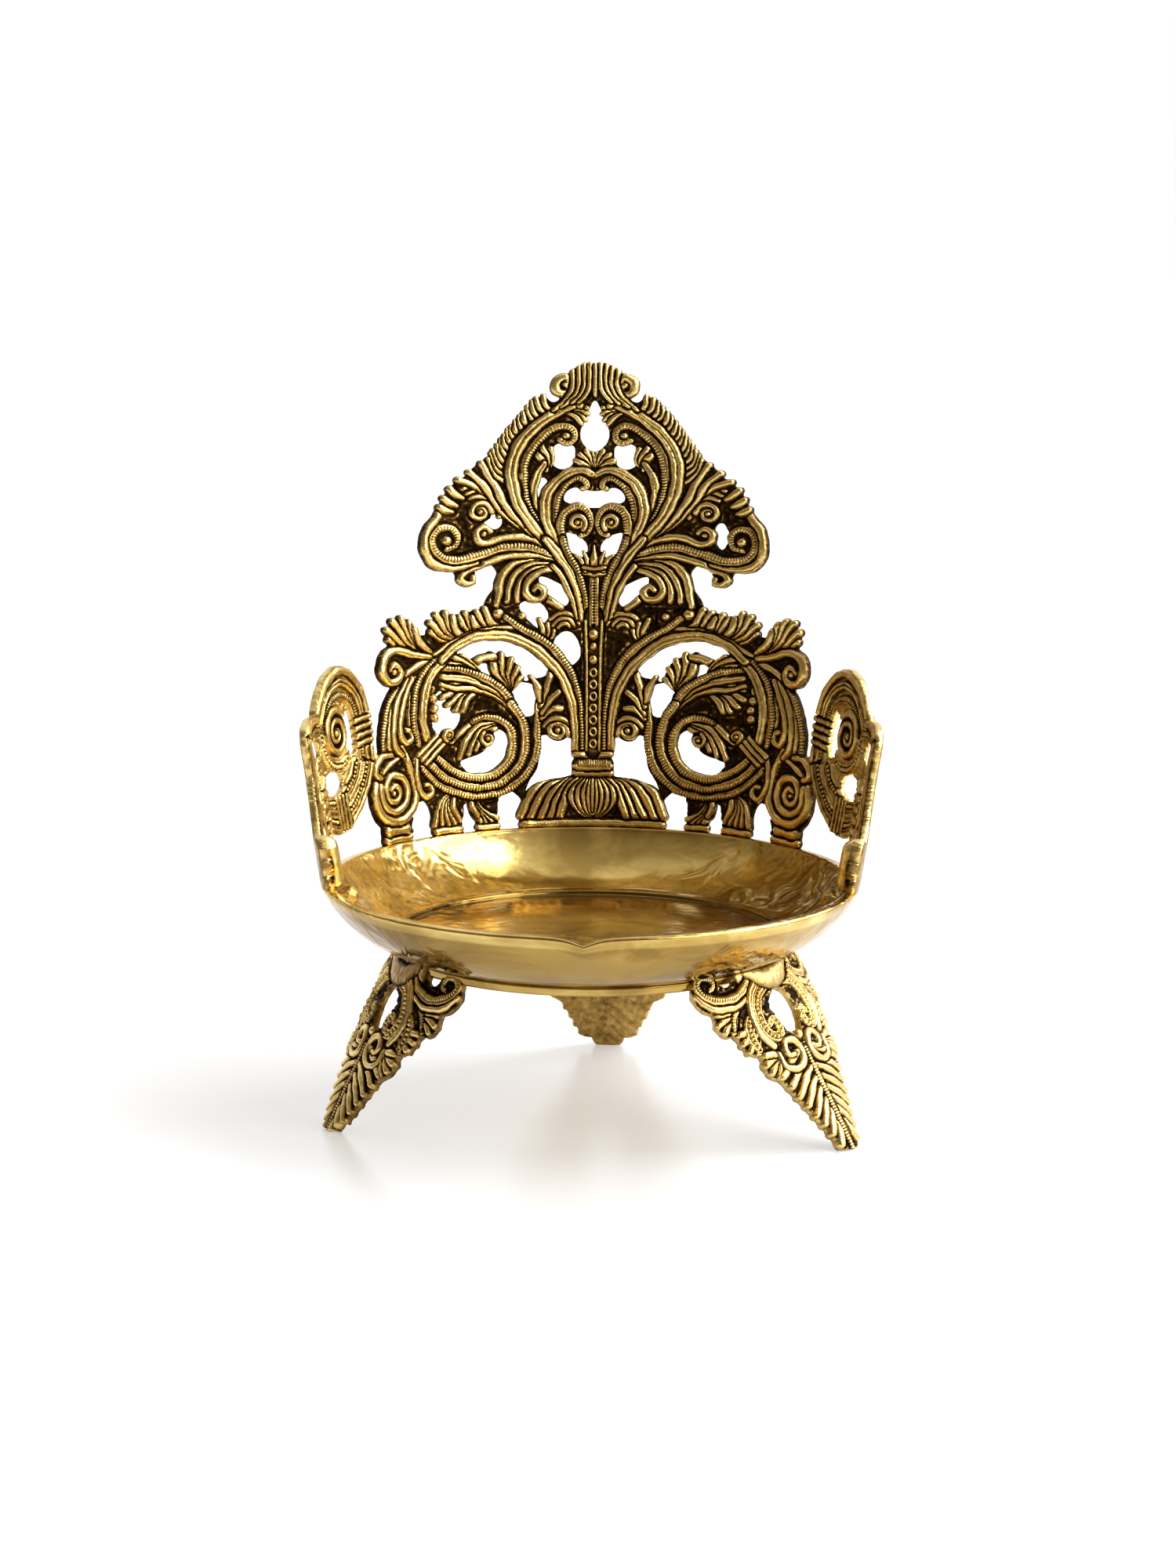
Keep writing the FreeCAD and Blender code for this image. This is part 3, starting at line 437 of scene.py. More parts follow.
def draw_wing(sheet):
    """The ring scroll, the crescent under it, and the plain post with the lug on its foot."""
    rib = sheet.rib
    rib([(80, 1.4), (86, 1.8), (93, 1.4), (101, 2)], (1.6, 1.8, 1.6, 1.4))
    rib([(82, 5), (88, 5.8), (94, 4.8), (100.6, 5.4)], (1.5, 1.9, 1.7, 1.5))
    rib([(86, 9.4), (91, 8.8), (96, 7.8), (100, 7.6)], (1.4, 1.5, 1.2, 0.9))
    rib([(84.3, 29.6), (84, 23), (84.8, 15), (83.8, 10), (80.4, 6)], (0.7, 0.7, 0.9, 1, 0.8))
    rib([(81.6, 12.8), (80, 9.4), (79.4, 5.8)], (0.8, 1, 0.9))
    rib([(76, 31.8), (80, 31.9), (84.4, 31), (86.4, 28.8)], (1.1, 1, 1.2, 1))
    rib([(74.6, 29.2), (78.6, 29.8), (82.8, 29.2)], (1, 1, 0.8), "bead")
    rib([(86.2, 28.6), (86.2, 23), (87.2, 16.4), (90, 10.6), (94, 7.6), (98.4, 5)],
        (1.4, 1.3, 1.5, 1.7, 1.8, 1.8), relief=1.05)
    rib([(99.4, 1.6), (99.4, 8.6)], 2.5, relief=3.5)
    rib([(77.6, 19.2), (79.6, 17.4), (81, 14.8)], (0.8, 0.9, 0.8))
    for shift in range(4):
        rib([(77.4, 9.4 + 2.3 * shift), (80.6, 8.8 + 2.4 * shift)], 0.95)
    rib([(54.8, 19.2), (56.8, 15), (60.4, 10.8), (65, 7.7), (70.6, 6.5), (77, 7.9)], (0.7, 0.8, 0.8, 0.7))
    rib([(56.6, 19.6), (58.7, 15.6), (62, 12.2), (66.1, 9.6), (70.9, 8.5), (77, 9.8)],
        (0.9, 1.05, 1.05, 0.9), "dots")
    rib([(58.6, 19.8), (60.4, 16.6), (63.2, 13.9), (66.9, 11.7), (71.3, 10.7), (77, 12)],
        (0.6, 0.7, 0.7, 0.6))
    rib([(60.2, 20), (61.9, 17.4), (64.4, 15.4), (67.6, 13.7), (71.5, 12.8), (77, 13.8)],
        (0.8, 0.95, 0.95, 0.8), "dots")
    rib([(61.8, 19.8), (63.4, 17.8), (65.6, 16.2)], (0.5, 0.7, 0.5))
    for place in (66.2, 67.9, 69.6, 71.3):
        rib([(place + 0.4, 13.6), (place, 6.8)], 0.65)
    rib([(63.6, 20.8), (66.6, 20), (69.8, 20.4), (72.6, 22.2), (74.4, 25.4), (74.8, 28.6)], (0.8, 1, 1, 0.8),
        "dots")
    rib([(57.8, 20.6), (57.9, 26), (58.6, 30.8), (60.6, 33.8), (63.8, 35), (67.2, 34.2), (70.4, 31.6),
         (72, 28.4)], (0.8, 0.9, 0.95, 0.9, 0.7), "bead")
    rib([(55.9, 20.4), (56, 26), (56.8, 31.8), (59, 36), (63, 37.8), (67.2, 36.9), (71.2, 34.1), (74, 30.6)],
        (0.9, 1, 1.1, 1, 0.8), "groove")
    rib([(54.6, 19.8), (54.3, 25.4), (54.8, 31.8), (57, 37.2), (61, 40), (65.6, 39.6), (70.6, 36.9),
         (75, 33.2)], (0.7, 0.9, 1, 1.1, 0.9))
    sheet.whorl((66.8, 27.2), 5.2, 120, -1.9, 1)
    for shift in range(4):
        rib([(53.8, 24 + 1.7 * shift), (58.6, 23.4 + 1.7 * shift)], 0.7)


def draw_leg(sheet):
    """One half of a leg: the leafy toe, the volutes, the ring with its lobes, and the top block."""
    rib = sheet.rib
    rib([(0, 38.6), (10.4, 39)], 2.9, relief=1)
    rib([(0, 41.6), (10, 42)], 2.2, relief=1)
    for root, tips in [((9.2, 20.4), [(10.6, 16), (12.2, 17), (13.1, 18.8), (12.6, 20.8)]),
                       ((12.6, 25.4), [(13.8, 21.8), (15.8, 22.4), (17, 24.2), (17.6, 26.2)]),
                       ((16.2, 30.8), [(18.6, 27), (20.6, 27.2), (21.8, 28.8), (21.6, 31)])]:
        sheet.fan(root, tips, 0.9, bend=0.08)
    rib([(14, 33.2), (17, 30.6), (18.4, 27.6)], (0.6, 0.8, 0.6), "bead")
    rib([(11.6, 30.4), (14, 28), (14.6, 25), (13.6, 22.4)], (0.7, 1, 1, 0.7), "dots")
    rib([(9.6, 36.2), (13.4, 33.4), (18.2, 32.2), (22.8, 32.9), (25.9, 35.6)], (0.8, 1, 1, 0.8))
    rib([(9.4, 38.2), (12.4, 35.6), (16.4, 34.2), (20.6, 34.2), (24.2, 35.8), (25.2, 38), (23.4, 39.4),
         (21, 38.9), (20.6, 37.2), (21.8, 36.6)], (0.8, 1.1, 1.1, 0.9, 0.6), "bead")
    rib([(1.4, 37.4), (6.4, 37), (10.4, 34.4), (12.2, 30.2), (11.7, 25.6), (9.4, 22.4)],
        (0.7, 0.9, 1, 0.9, 0.7), "groove")
    rib([(0, 35.6), (4.4, 35.4), (8.4, 33.6), (10.4, 30), (10.1, 26.6), (8.2, 24.4), (6, 24.6), (5.2, 26.6),
         (6.4, 28.2), (7.8, 27.2)], (0.8, 1, 1, 0.9, 0.6), "dots")
    for w, v in [(10, 15.6), (8.8, 13.2), (7.6, 10.8), (6.5, 8.5), (5.4, 6.1), (4.3, 3.8), (3.3, 1.4),
                 (2.4, -1.4)]:
        rib([(0.6, v + 5.4), (0.5 * w, v + 3.6), (w, v)], (0.5, 0.95, 0.7))
    rib([(0, 20.6), (0, 14), (0, 7.4), (0, -3.4)], (0.6, 0.8, 0.8, 0.6), "bead")
    rib([(8.9, 20.6), (8.2, 17.7), (5.4, 16.5), (2.6, 17.7), (1.7, 20.2), (3, 22.6), (5.4, 22.9),
         (6.6, 21.2), (5.8, 19.6), (4.4, 19.7)], (0.6, 0.85, 0.85, 0.6))
    sheet.ball((0, 23.4), 1.1)
    rib([(0, 36.8), (4, 37.2), (9, 39.6)], (2.4, 2.3, 1.8), relief=0.8)


# ---- Meshes ----

PROBE = 2.0  # how far before and behind the plate the CAD solid is looked for
BARE = 0.22  # ground this far from a stroke lies open
BACK = 0.02  # the back's distance inside the CAD plate's
BACK_ROUNDING = 0.48  # how far the back's edges are rounded off
BACK_WORN = 0.48
# Peaks are brightened by rubbing; low places and bare ground are darkened by patina and painted shade.
PEAK_WORN, HEIGHT_WEAR_AND_SHADE, GROUND_PATINA_AND_SHADE = 1.25, 0.45, 0.24  # what rubs a place bright or keeps it dark
MEAN_HEIGHT = 1.9


def blurred(field, passes):
    """A field softened by repeated averaging with its neighbours."""
    for _ in range(passes):
        for axis in (0, 1):
            last = field.shape[axis] - 1
            before, after = (np.take(field, np.clip(np.arange(last + 1) + shift, 0, last), axis)
                             for shift in (-1, 1))
            field = 0.5 * field + 0.25 * (before + after)
    return field


def speckle(shape, size, seed):
    """Smooth random noise from -1 to 1 whose bumps are about size across."""
    rng = np.random.default_rng(seed)
    cell = size / STEP
    rows, columns = (int(n / cell) + 3 for n in shape)
    coarse = rng.uniform(-1, 1, (rows, columns))
    v, w = (np.arange(n) / cell for n in shape)
    v0, w0 = v.astype(int), w.astype(int)
    v, w = (v - v0)[:, None], (w - w0)[None, :]
    v, w = v * v * (3 - 2 * v), w * w * (3 - 2 * w)
    low, high = (coarse[row][:, w0] * (1 - w) + coarse[row][:, w0 + 1] * w for row in (v0, v0 + 1))
    return low * (1 - v) + high * v


def solid_places(node, place, w, v):
    """1 where the CAD plate is solid behind the sheet, 0 where it is open."""
    outside, inside = place(w, v, -PROBE), place(w, v, place.thickness + PROBE)
    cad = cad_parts[node].data
    tree = BVHTree.FromPolygons([p.co for p in cad.vertices], [p.vertices for p in cad.polygons])
    solid = np.zeros(w.shape)
    for row, column in np.ndindex(*w.shape):
        start = Vector(outside[row, column])
        run = Vector(inside[row, column]) - start
        solid[row, column] = 0.0 if tree.ray_cast(start, run, run.length)[0] is None else 1.0
    return solid


def add_cast_ground(sheet, node, place, inset=0.3):
    """Fills the sheet with pitted ground wherever the CAD plate is solid."""
    w, v = np.meshgrid(sheet.w, sheet.v)
    edge = (blurred(solid_places(node, place, w, v), 3) - 0.5) * 3.4 * STEP - inset
    away = np.clip(-sheet.inside, 0.0, 3.0)
    shoulder = np.clip((away - BARE) / 0.3, 0.0, 1.0) * np.exp(-((away - 0.4) / 0.9).clip(0.0) ** 2)
    pits = 0.24 * speckle(w.shape, 0.75, 3) + 0.14 * speckle(w.shape, 0.45, 4)
    bare = away > BARE
    bare_height = GROUND + 0.45 * shoulder + pits * np.clip(away / 0.8, 0.3, 1.0)
    sheet.ground = np.where(bare, np.clip(away / 0.5, 0.0, 1.0), 0.0)
    sheet.height = np.where(bare, bare_height, sheet.height) + 0.035 * speckle(w.shape, 0.9, 5)
    sheet.inside = np.maximum(sheet.inside, edge)


def two_halves(draw, width, low, high):
    """A whole sheet from two drawings of its right half, one of them turned over."""
    overlap = 20
    right, left = (Sheet((-overlap * STEP, low), (width, high), sway) for sway in (0.0, 2.4))
    draw(right)
    draw(left)
    for name in FIELDS:
        left_side = getattr(left, name)[:, :overlap:-1]
        setattr(right, name, np.concatenate([left_side, getattr(right, name)[:, overlap:]], 1))
    right.w = np.concatenate([-left.w[:overlap:-1], right.w[overlap:]])
    return right


def narrowed(w, less=1.8, across=12.0):
    """Where a width on the symmetrical drawing falls on the casting, whose right side is narrower."""
    share = np.clip(0.5 + w / across, 0.0, 1.0)
    return w - less * share ** 2 * (3 - 2 * share)


def kept_cells(inside):
    """The sheet's cells that are metal, with no two of them meeting only at a corner."""
    cells = 0.25 * (inside[:-1, :-1] + inside[1:, :-1] + inside[:-1, 1:] + inside[1:, 1:]) > 0
    for _ in range(4):
        slash = cells[:-1, :-1] & cells[1:, 1:] & ~cells[1:, :-1] & ~cells[:-1, 1:]
        backslash = ~cells[:-1, :-1] & ~cells[1:, 1:] & cells[1:, :-1] & cells[:-1, 1:]
        cells[1:, :-1] |= slash
        cells[:-1, :-1] |= backslash
    return cells


def casting_faces(cells, number, count):
    """Quads of the front, the back (numbered count further on), and the walls along every edge."""
    front = np.stack([number[:-1, :-1][cells], number[:-1, 1:][cells],
                      number[1:, 1:][cells], number[1:, :-1][cells]], 1)
    walls = []
    padded = np.pad(cells, 1)
    for first, second, beyond in [((0, 0), (0, 1), padded[:-2, 1:-1]), ((0, 1), (1, 1), padded[1:-1, 2:]),
                                  ((1, 1), (1, 0), padded[2:, 1:-1]), ((1, 0), (0, 0), padded[1:-1, :-2])]:
        rows, columns = np.nonzero(cells & ~beyond)
        a = number[rows + first[0], columns + first[1]]
        b = number[rows + second[0], columns + second[1]]
        walls.append(np.stack([b, a, a + count, b + count], 1))
    return np.concatenate([front, front[:, ::-1] + count] + walls)


def set_values(mesh, name, values):
    """Stores one number per vertex, which the materials read."""
    attribute = mesh.attributes.new(name, "FLOAT", "POINT")
    attribute.data.foreach_set("value", np.concatenate(values).astype(np.float32))


def sheet_mesh(name, sheet, place, face_wear_and_shade, edge_wear_and_shade):
    """A closed mesh of a sheet: relief in front, a plain back, and walls along every edge."""
    cells = kept_cells(sheet.inside)
    used, full = np.zeros(sheet.inside.shape, bool), np.ones(sheet.inside.shape, bool)
    for rows in (slice(None, -1), slice(1, None)):
        for columns in (slice(None, -1), slice(1, None)):
            used[rows, columns] |= cells
            full[rows, columns] &= cells
    rim = used & ~full
    w, v = np.meshgrid(sheet.w, sheet.v)
    soft = blurred(sheet.inside.clip(-0.6, 0.6), 1)
    slope_v, slope_w = np.gradient(soft, STEP)
    steep = np.maximum(slope_v ** 2 + slope_w ** 2, 0.05)
    limit = 0.6 * STEP
    w, v = (np.where(rim, grid + np.clip(-soft * slope / steep, -limit, limit), grid)
            for grid, slope in ((w, slope_w), (v, slope_v)))
    shoulder = np.clip(1.0 - blurred(sheet.inside.clip(-0.2, 0.9), 1) / 0.9, 0.0, 1.0)
    back = BACK + BACK_ROUNDING * shoulder ** 2
    count = int(used.sum())
    number = np.full(used.shape, -1)
    number[used] = np.arange(count)
    faces = casting_faces(cells, number, count)
    if not place.faces_in:
        faces = faces[:, ::-1]
    points = np.concatenate([place(w, v, sheet.height)[used], place(w, v, back)[used]])
    mesh = bpy.data.meshes.new(name)
    mesh.from_pydata(points.tolist(), [], faces.tolist())

    # The stored tone: brighter on peaks and high places from rubbing, darker low down and on the bare
    # ground, which is patina and painted shade in one.
    peaks = sheet.height - blurred(sheet.height, round(1.5 / STEP ** 2))
    wear_and_shade = face_wear_and_shade + peaks * PEAK_WORN + (sheet.height - MEAN_HEIGHT) * HEIGHT_WEAR_AND_SHADE
    wear_and_shade = np.clip(wear_and_shade - GROUND_PATINA_AND_SHADE * sheet.ground, 0.0, 1.0)
    # At and near the outline the tone goes to the edge value: bright from rubbing on the wings and legs,
    # painted shade on the screen's edge walls.
    near_rim = np.maximum(np.clip(1.0 - sheet.inside / 0.25, 0.0, 1.0), rim)
    wear_and_shade = wear_and_shade + (np.maximum(wear_and_shade, edge_wear_and_shade) - wear_and_shade) * near_rim
    flat = np.zeros(count)
    set_values(mesh, "wear_and_shade", (wear_and_shade[used], np.where(rim, edge_wear_and_shade, BACK_WORN)[used]))
    set_values(mesh, "along", (sheet.along[used], flat))
    set_values(mesh, "milled", (sheet.milled[used], flat))
    mesh.shade_smooth()
    return mesh


class ConePlace:
    """Where a drawn point is in the shared frame, on a cone. lean is the cone's angle from upright,
    outwards, and arc the radius at which the drawing has its true width."""

    def __init__(self, radius, height, lean, arc, thickness, faces_in, turn=0.0, reach=0.0, shift=0.0,
                 slide=0.0):
        self.radius, self.height, self.lean, self.arc = radius, height, math.radians(lean), arc
        self.thickness, self.faces_in, self.turn = thickness, faces_in, math.radians(turn)
        self.reach, self.shift, self.slide = reach, shift, slide

    def __call__(self, w, v, rise):
        """Points in metres. rise is the height above the casting's back."""
        v = v + self.slide
        offset = self.thickness / 2 - rise if self.faces_in else rise - self.thickness / 2
        r = self.radius + v * math.sin(self.lean) + offset * math.cos(self.lean)
        z = self.height + v * math.cos(self.lean) - offset * math.sin(self.lean)
        x, y = r * np.sin(w / self.arc), self.reach + r * np.cos(w / self.arc)
        cos, sin = math.cos(self.turn), math.sin(self.turn)
        z = np.maximum(z + 0 * w, 0.0)
        return np.stack([x * cos - y * sin + self.shift, x * sin + y * cos, z], -1) * MM


def new_object(name, data):
    """An object in the scene."""
    thing = bpy.data.objects.new(name, data)
    bpy.context.scene.collection.objects.link(thing)
    return thing


def modified_mesh(thing):
    """An object's mesh with its modifiers applied."""
    return bpy.data.meshes.new_from_object(thing.evaluated_get(bpy.context.evaluated_depsgraph_get()))


def add_piece(name, mesh, material, slot, *nodes, keep=1.0):
    """A visible piece on the root body. keep is the share of its triangles that stay."""
    piece = new_object(name, mesh)
    piece.data.materials.append(material)
    if keep < 1.0:
        piece.modifiers.new("thin", "DECIMATE").ratio = keep
        thin_mesh = modified_mesh(piece)
        piece.modifiers.clear()
        piece.data = thin_mesh
    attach(piece, "root")
    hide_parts(*nodes)


# ---- Finishes ----


def feed(socket, value):
    """Links another node's output to a socket, or sets the socket to a constant."""
    if isinstance(value, bpy.types.NodeSocket):
        socket.id_data.links.new(value, socket)
    else:
        socket.default_value = value


def new_node(tree, kind, **inputs):
    node = tree.nodes.new("ShaderNode" + kind)
    for name, value in inputs.items():
        feed(node.inputs[name], value)
    return node


def new_material(name):
    material = bpy.data.materials.new(name)
    material.use_nodes = True
    return material, material.node_tree, material.node_tree.nodes["Principled BSDF"].inputs


def noise(tree, scale, detail, stretch=(1.0, 1.0, 1.0), distortion=0.0):
    """A noise texture on the object's own coordinates. scale is in cycles per metre."""
    own = new_node(tree, "TexCoord").outputs["Object"]
    mapping = new_node(tree, "Mapping", Vector=own, Scale=stretch)
    return new_node(tree, "TexNoise", Vector=mapping.outputs["Vector"], Scale=scale, Detail=detail,
                    Distortion=distortion).outputs["Fac"]


def ramp(tree, factor, stops):
    """A colour ramp. stops are (place, colour or grey)."""
    node = new_node(tree, "ValToRGB", Fac=factor)
    elements = node.color_ramp.elements
    while len(elements) < len(stops):
        elements.new(0.5)
    for element, (place, colour) in zip(elements, stops):
        element.position = place
        element.color = (*colour, 1.0) if isinstance(colour, tuple) else (colour, colour, colour, 1.0)
    return node.outputs["Color"]


def brass(name, draw):
    """A metal material from draw, which gives its colour, its roughness and its bumps. Bumps are
    stacked in order, each with its signal, strength and distance in metres."""
    material, tree, inputs = new_material(name)
    colour, roughness, bumps = draw(tree)
    inputs["Metallic"].default_value = 1.0
    feed(inputs["Base Color"], colour)
    feed(inputs["Roughness"], roughness)
    normal = None
    for signal, strength, distance in bumps:
        bump = new_node(tree, "Bump", Strength=strength, Distance=distance, Height=signal)
        if normal:
            feed(bump.inputs["Normal"], normal)
        normal = bump.outputs["Normal"]
    feed(inputs["Normal"], normal)
    return material


def calc(tree, operation, *values, clamp=False):
    """One step of arithmetic on signals and numbers."""
    node = new_node(tree, "Math")
    node.operation, node.use_clamp = operation, clamp
    for socket, value in zip(node.inputs, values):
        feed(socket, value)
    return node.outputs[0]


def attribute(tree, name):
    """A number that the mesh stores at its vertices."""
    node = new_node(tree, "Attribute")
    node.attribute_name = name
    return node.outputs["Fac"]


def milling(tree):
    """1 in the cuts between the small beads along a milled ridge, 0 elsewhere."""
    phase = calc(tree, "MULTIPLY", attribute(tree, "along"), 2 * math.pi / MILLING)
    cut = calc(tree, "MULTIPLY_ADD", calc(tree, "COSINE", phase), 0.9, -0.1, clamp=True)
    return calc(tree, "MULTIPLY", cut, attribute(tree, "milled"))


def antique_brass(tree):
    """Cast brass: bright on the high places from rubbing, brown to black in the hollows from patina and
    painted shade.
    """
    cloud = noise(tree, 160.0, 4.0)
    lumps = noise(tree, 750.0, 4.0)
    grain = noise(tree, 2300.0, 3.0)
    notches = milling(tree)
    clouding = calc(tree, "MULTIPLY_ADD", cloud, 0.36, -0.18)
    pits = calc(tree, "MULTIPLY_ADD", lumps, 0.5, -0.25)
    # The cuts between milled beads are darkened: patina and painted shade.
    cuts = calc(tree, "MULTIPLY", notches, -0.42)
    factor = calc(tree, "ADD", attribute(tree, "wear_and_shade"), clouding)
    factor = calc(tree, "ADD", factor, pits)
    factor = calc(tree, "ADD", factor, cuts, clamp=True)
    colour = ramp(tree, factor, [(0.0, (0.010, 0.005, 0.0015)), (0.30, (0.07, 0.036, 0.010)),
                                 (0.52, (0.41, 0.255, 0.068)), (0.80, (0.88, 0.655, 0.25))])
    roughness = ramp(tree, factor, [(0.1, 0.70), (0.5, 0.36), (0.9, 0.25)])
    raised = calc(tree, "MULTIPLY", notches, -1.0)
    return colour, roughness, [(raised, 0.9, 0.00026), (lumps, 0.6, 0.00022), (grain, 0.6, 0.00008)]


def polished_brass(tree):
    """The dish: smooth brass with faint brown clouds, more rippled towards its sides."""
    cloud = noise(tree, 45.0, 5.0, stretch=(1.0, 1.0, 2.2), distortion=0.6)
    specks = noise(tree, 900.0, 2.0)
    waves = noise(tree, 60.0, 1.5, stretch=(1.0, 1.0, 0.45), distortion=0.4)
    axes = new_node(tree, "SeparateXYZ", Vector=new_node(tree, "TexCoord").outputs["Object"])
    sideways = calc(tree, "ABSOLUTE", axes.outputs["X"])
    sideways = calc(tree, "MULTIPLY_ADD", sideways, 32.0, -0.35, clamp=True)
    ripples = calc(tree, "MULTIPLY", noise(tree, 150.0, 1.0, distortion=1.4), sideways)
    cleanness = ramp(tree, cloud, [(0.36, 0.55), (0.56, 1.0)])
    factor = calc(tree, "MULTIPLY", attribute(tree, "wear_and_shade"), cleanness)
    colour = ramp(tree, factor, [(0.0, (0.05, 0.028, 0.006)), (0.45, (0.38, 0.24, 0.06)),
                                 (0.80, (0.66, 0.46, 0.135)), (1.0, (0.82, 0.61, 0.22))])
    roughness = ramp(tree, specks, [(0.3, 0.11), (0.7, 0.19)])
    return colour, roughness, [(specks, 0.10, 0.00006), (waves, 0.35, 0.0016), (ripples, 0.45, 0.0011)]


def braze_metal(tree):
    """Lumpy brazing metal, a little duller than the castings."""
    cloud = noise(tree, 300.0, 4.0)
    colour = ramp(tree, cloud, [(0.3, (0.30, 0.19, 0.05)), (0.7, (0.74, 0.53, 0.18))])
    return colour, ramp(tree, cloud, [(0.3, 0.55), (0.7, 0.32)]), [(cloud, 0.5, 0.0003)]


ANTIQUE = brass("antique_brass", antique_brass)
POLISHED = brass("polished_brass", polished_brass)
BRAZE = brass("braze_metal", braze_metal)

# ---- Screen, wings and legs ----

SCREEN_PLACE = ConePlace(radius=56.315, height=50.0, lean=9.0, arc=56.0, thickness=2.4, faces_in=True)
LEG_REACH = 6.2
LEG_CONE = dict(height=0.0, arc=44.0, thickness=3.0, faces_in=False, reach=LEG_REACH, shift=0.8)
LEG_SETTINGS = {
    "leg_rear": dict(turn=-2.2, radius=57.0 - LEG_REACH, lean=-22.0, slide=-2.3),
    "leg_left": dict(turn=111.4, radius=58.8 - LEG_REACH, lean=-25.8, slide=-0.7),
    "leg_right": dict(turn=-120.4, radius=63.2 - LEG_REACH, lean=-30.6, slide=2.8),
}
LEG_TOP = 36.1  # height above the table where the legs end, just inside the dish
TOE_RADIUS = 3.3
TOE_HEIGHT = 2.7
LEG_RELIEF_LIFT = 0.55  # the legs' relief stands this much higher than the screen's
SCREEN_TRIANGLES, SMALL_TRIANGLES = 190000, 60000

# How bright a casting's face and its edges are painted, from 0 for black to 1 for bright: rubbing and
# patina, with painted shade on the screen's dark edges and on the left leg.
SCREEN_WEAR_AND_SHADE = (0.46, 0.12)
WING_WEAR = (0.19, 0.80)
# The left leg's lower values are painted shade, because it faces away from the key light.
LEG_WEAR_AND_SHADE = {"leg_rear": (0.27, 0.6), "leg_left": (0.13, 0.4), "leg_right": (0.29, 0.65)}


def add_casting(node, sheet, place, wear_and_shade_levels, most):
    """A casting's piece, with at most that many triangles."""
    mesh = sheet_mesh(node + "_casting", sheet, place, *wear_and_shade_levels)
    keep = most / (2 * len(mesh.polygons))
    add_piece(node + "_casting", mesh, ANTIQUE, "antique_brass", node, keep=keep)


def build_screen():
    sheet = two_halves(draw_screen, 57.5, 0.0, 104.4)
    sheet.w = narrowed(sheet.w)
    add_cast_ground(sheet, "back_screen", SCREEN_PLACE)
    add_casting("back_screen", sheet, SCREEN_PLACE, SCREEN_WEAR_AND_SHADE, SCREEN_TRIANGLES)


def build_wings():
    """The right wing, and the same drawing turned over on the full width for the left one."""
    sheet = Sheet((52.6, 0.0), (102.4, 42.0))
    draw_wing(sheet)
    drawn_w = sheet.w
    sheet.w = narrowed(drawn_w)
    add_cast_ground(sheet, "wing_right", SCREEN_PLACE)
    add_casting("wing_right", sheet, SCREEN_PLACE, WING_WEAR, SMALL_TRIANGLES)
    sheet.w = -drawn_w[::-1]
    for name in FIELDS:
        setattr(sheet, name, getattr(sheet, name)[:, ::-1])
    add_casting("wing_left", sheet, SCREEN_PLACE, WING_WEAR, SMALL_TRIANGLES)


def trimmed(sheet, place):
    """A copy of a leg's sheet without what is below the table or inside the dish."""
    part = copy.copy(sheet)
    slope_height = (sheet.v + place.slide)[:, None]
    round_toe = TOE_RADIUS - np.hypot(sheet.w[None, :], slope_height - TOE_HEIGHT)
    toe = np.where(slope_height < TOE_HEIGHT, np.minimum(round_toe, slope_height + 0.4), 3.0)
    below_dish = LEG_TOP / math.cos(place.lean) - slope_height
    part.inside = np.minimum(np.minimum(sheet.inside, toe), below_dish)
    part.height = sheet.height + LEG_RELIEF_LIFT
    return part


def build_legs():
    drawn = two_halves(draw_leg, 28.0, -3.6, 45.0)
    for node, setting in LEG_SETTINGS.items():
        place = ConePlace(**LEG_CONE, **setting)
        sheet = copy.copy(drawn)
        add_cast_ground(sheet, node, place, inset=0.05)
        add_casting(node, trimmed(sheet, place), place, LEG_WEAR_AND_SHADE[node], SMALL_TRIANGLES)


# ---- Dish, base plate and brazing ----

RIM_RADIUS = 57.5
AROUND = 360
FOOT, FLOOR = 36.0, 37.8  # heights of the dish's underside and of its floor
LEDGE_RADIUS = 40.85
PLATE_BOTTOM = 34.0
BEAD_VOXEL, BEAD_LUMPS = 0.00022, 0.00012


def arc_through(a, b, c, count):
    """Points along the circle arc from a through b to c."""
    (ax, ay), (bx, by), (cx, cy) = a, b, c
    d = 2 * (ax * (by - cy) + bx * (cy - ay) + cx * (ay - by))
    square_a, square_b, square_c = (x * x + y * y for x, y in (a, b, c))
    ux = (square_a * (by - cy) + square_b * (cy - ay) + square_c * (ay - by)) / d
    uy = (square_a * (cx - bx) + square_b * (ax - cx) + square_c * (bx - ax)) / d
    start, end = (math.atan2(y - uy, x - ux) for x, y in (a, c))
    radius = math.hypot(ax - ux, ay - uy)
    return [polar((ux, uy), radius, start + (end - start) * i / count) for i in range(count + 1)]


def line(a, b, count):
    return [(a[0] + (b[0] - a[0]) * i / count, a[1] + (b[1] - a[1]) * i / count) for i in range(count + 1)]


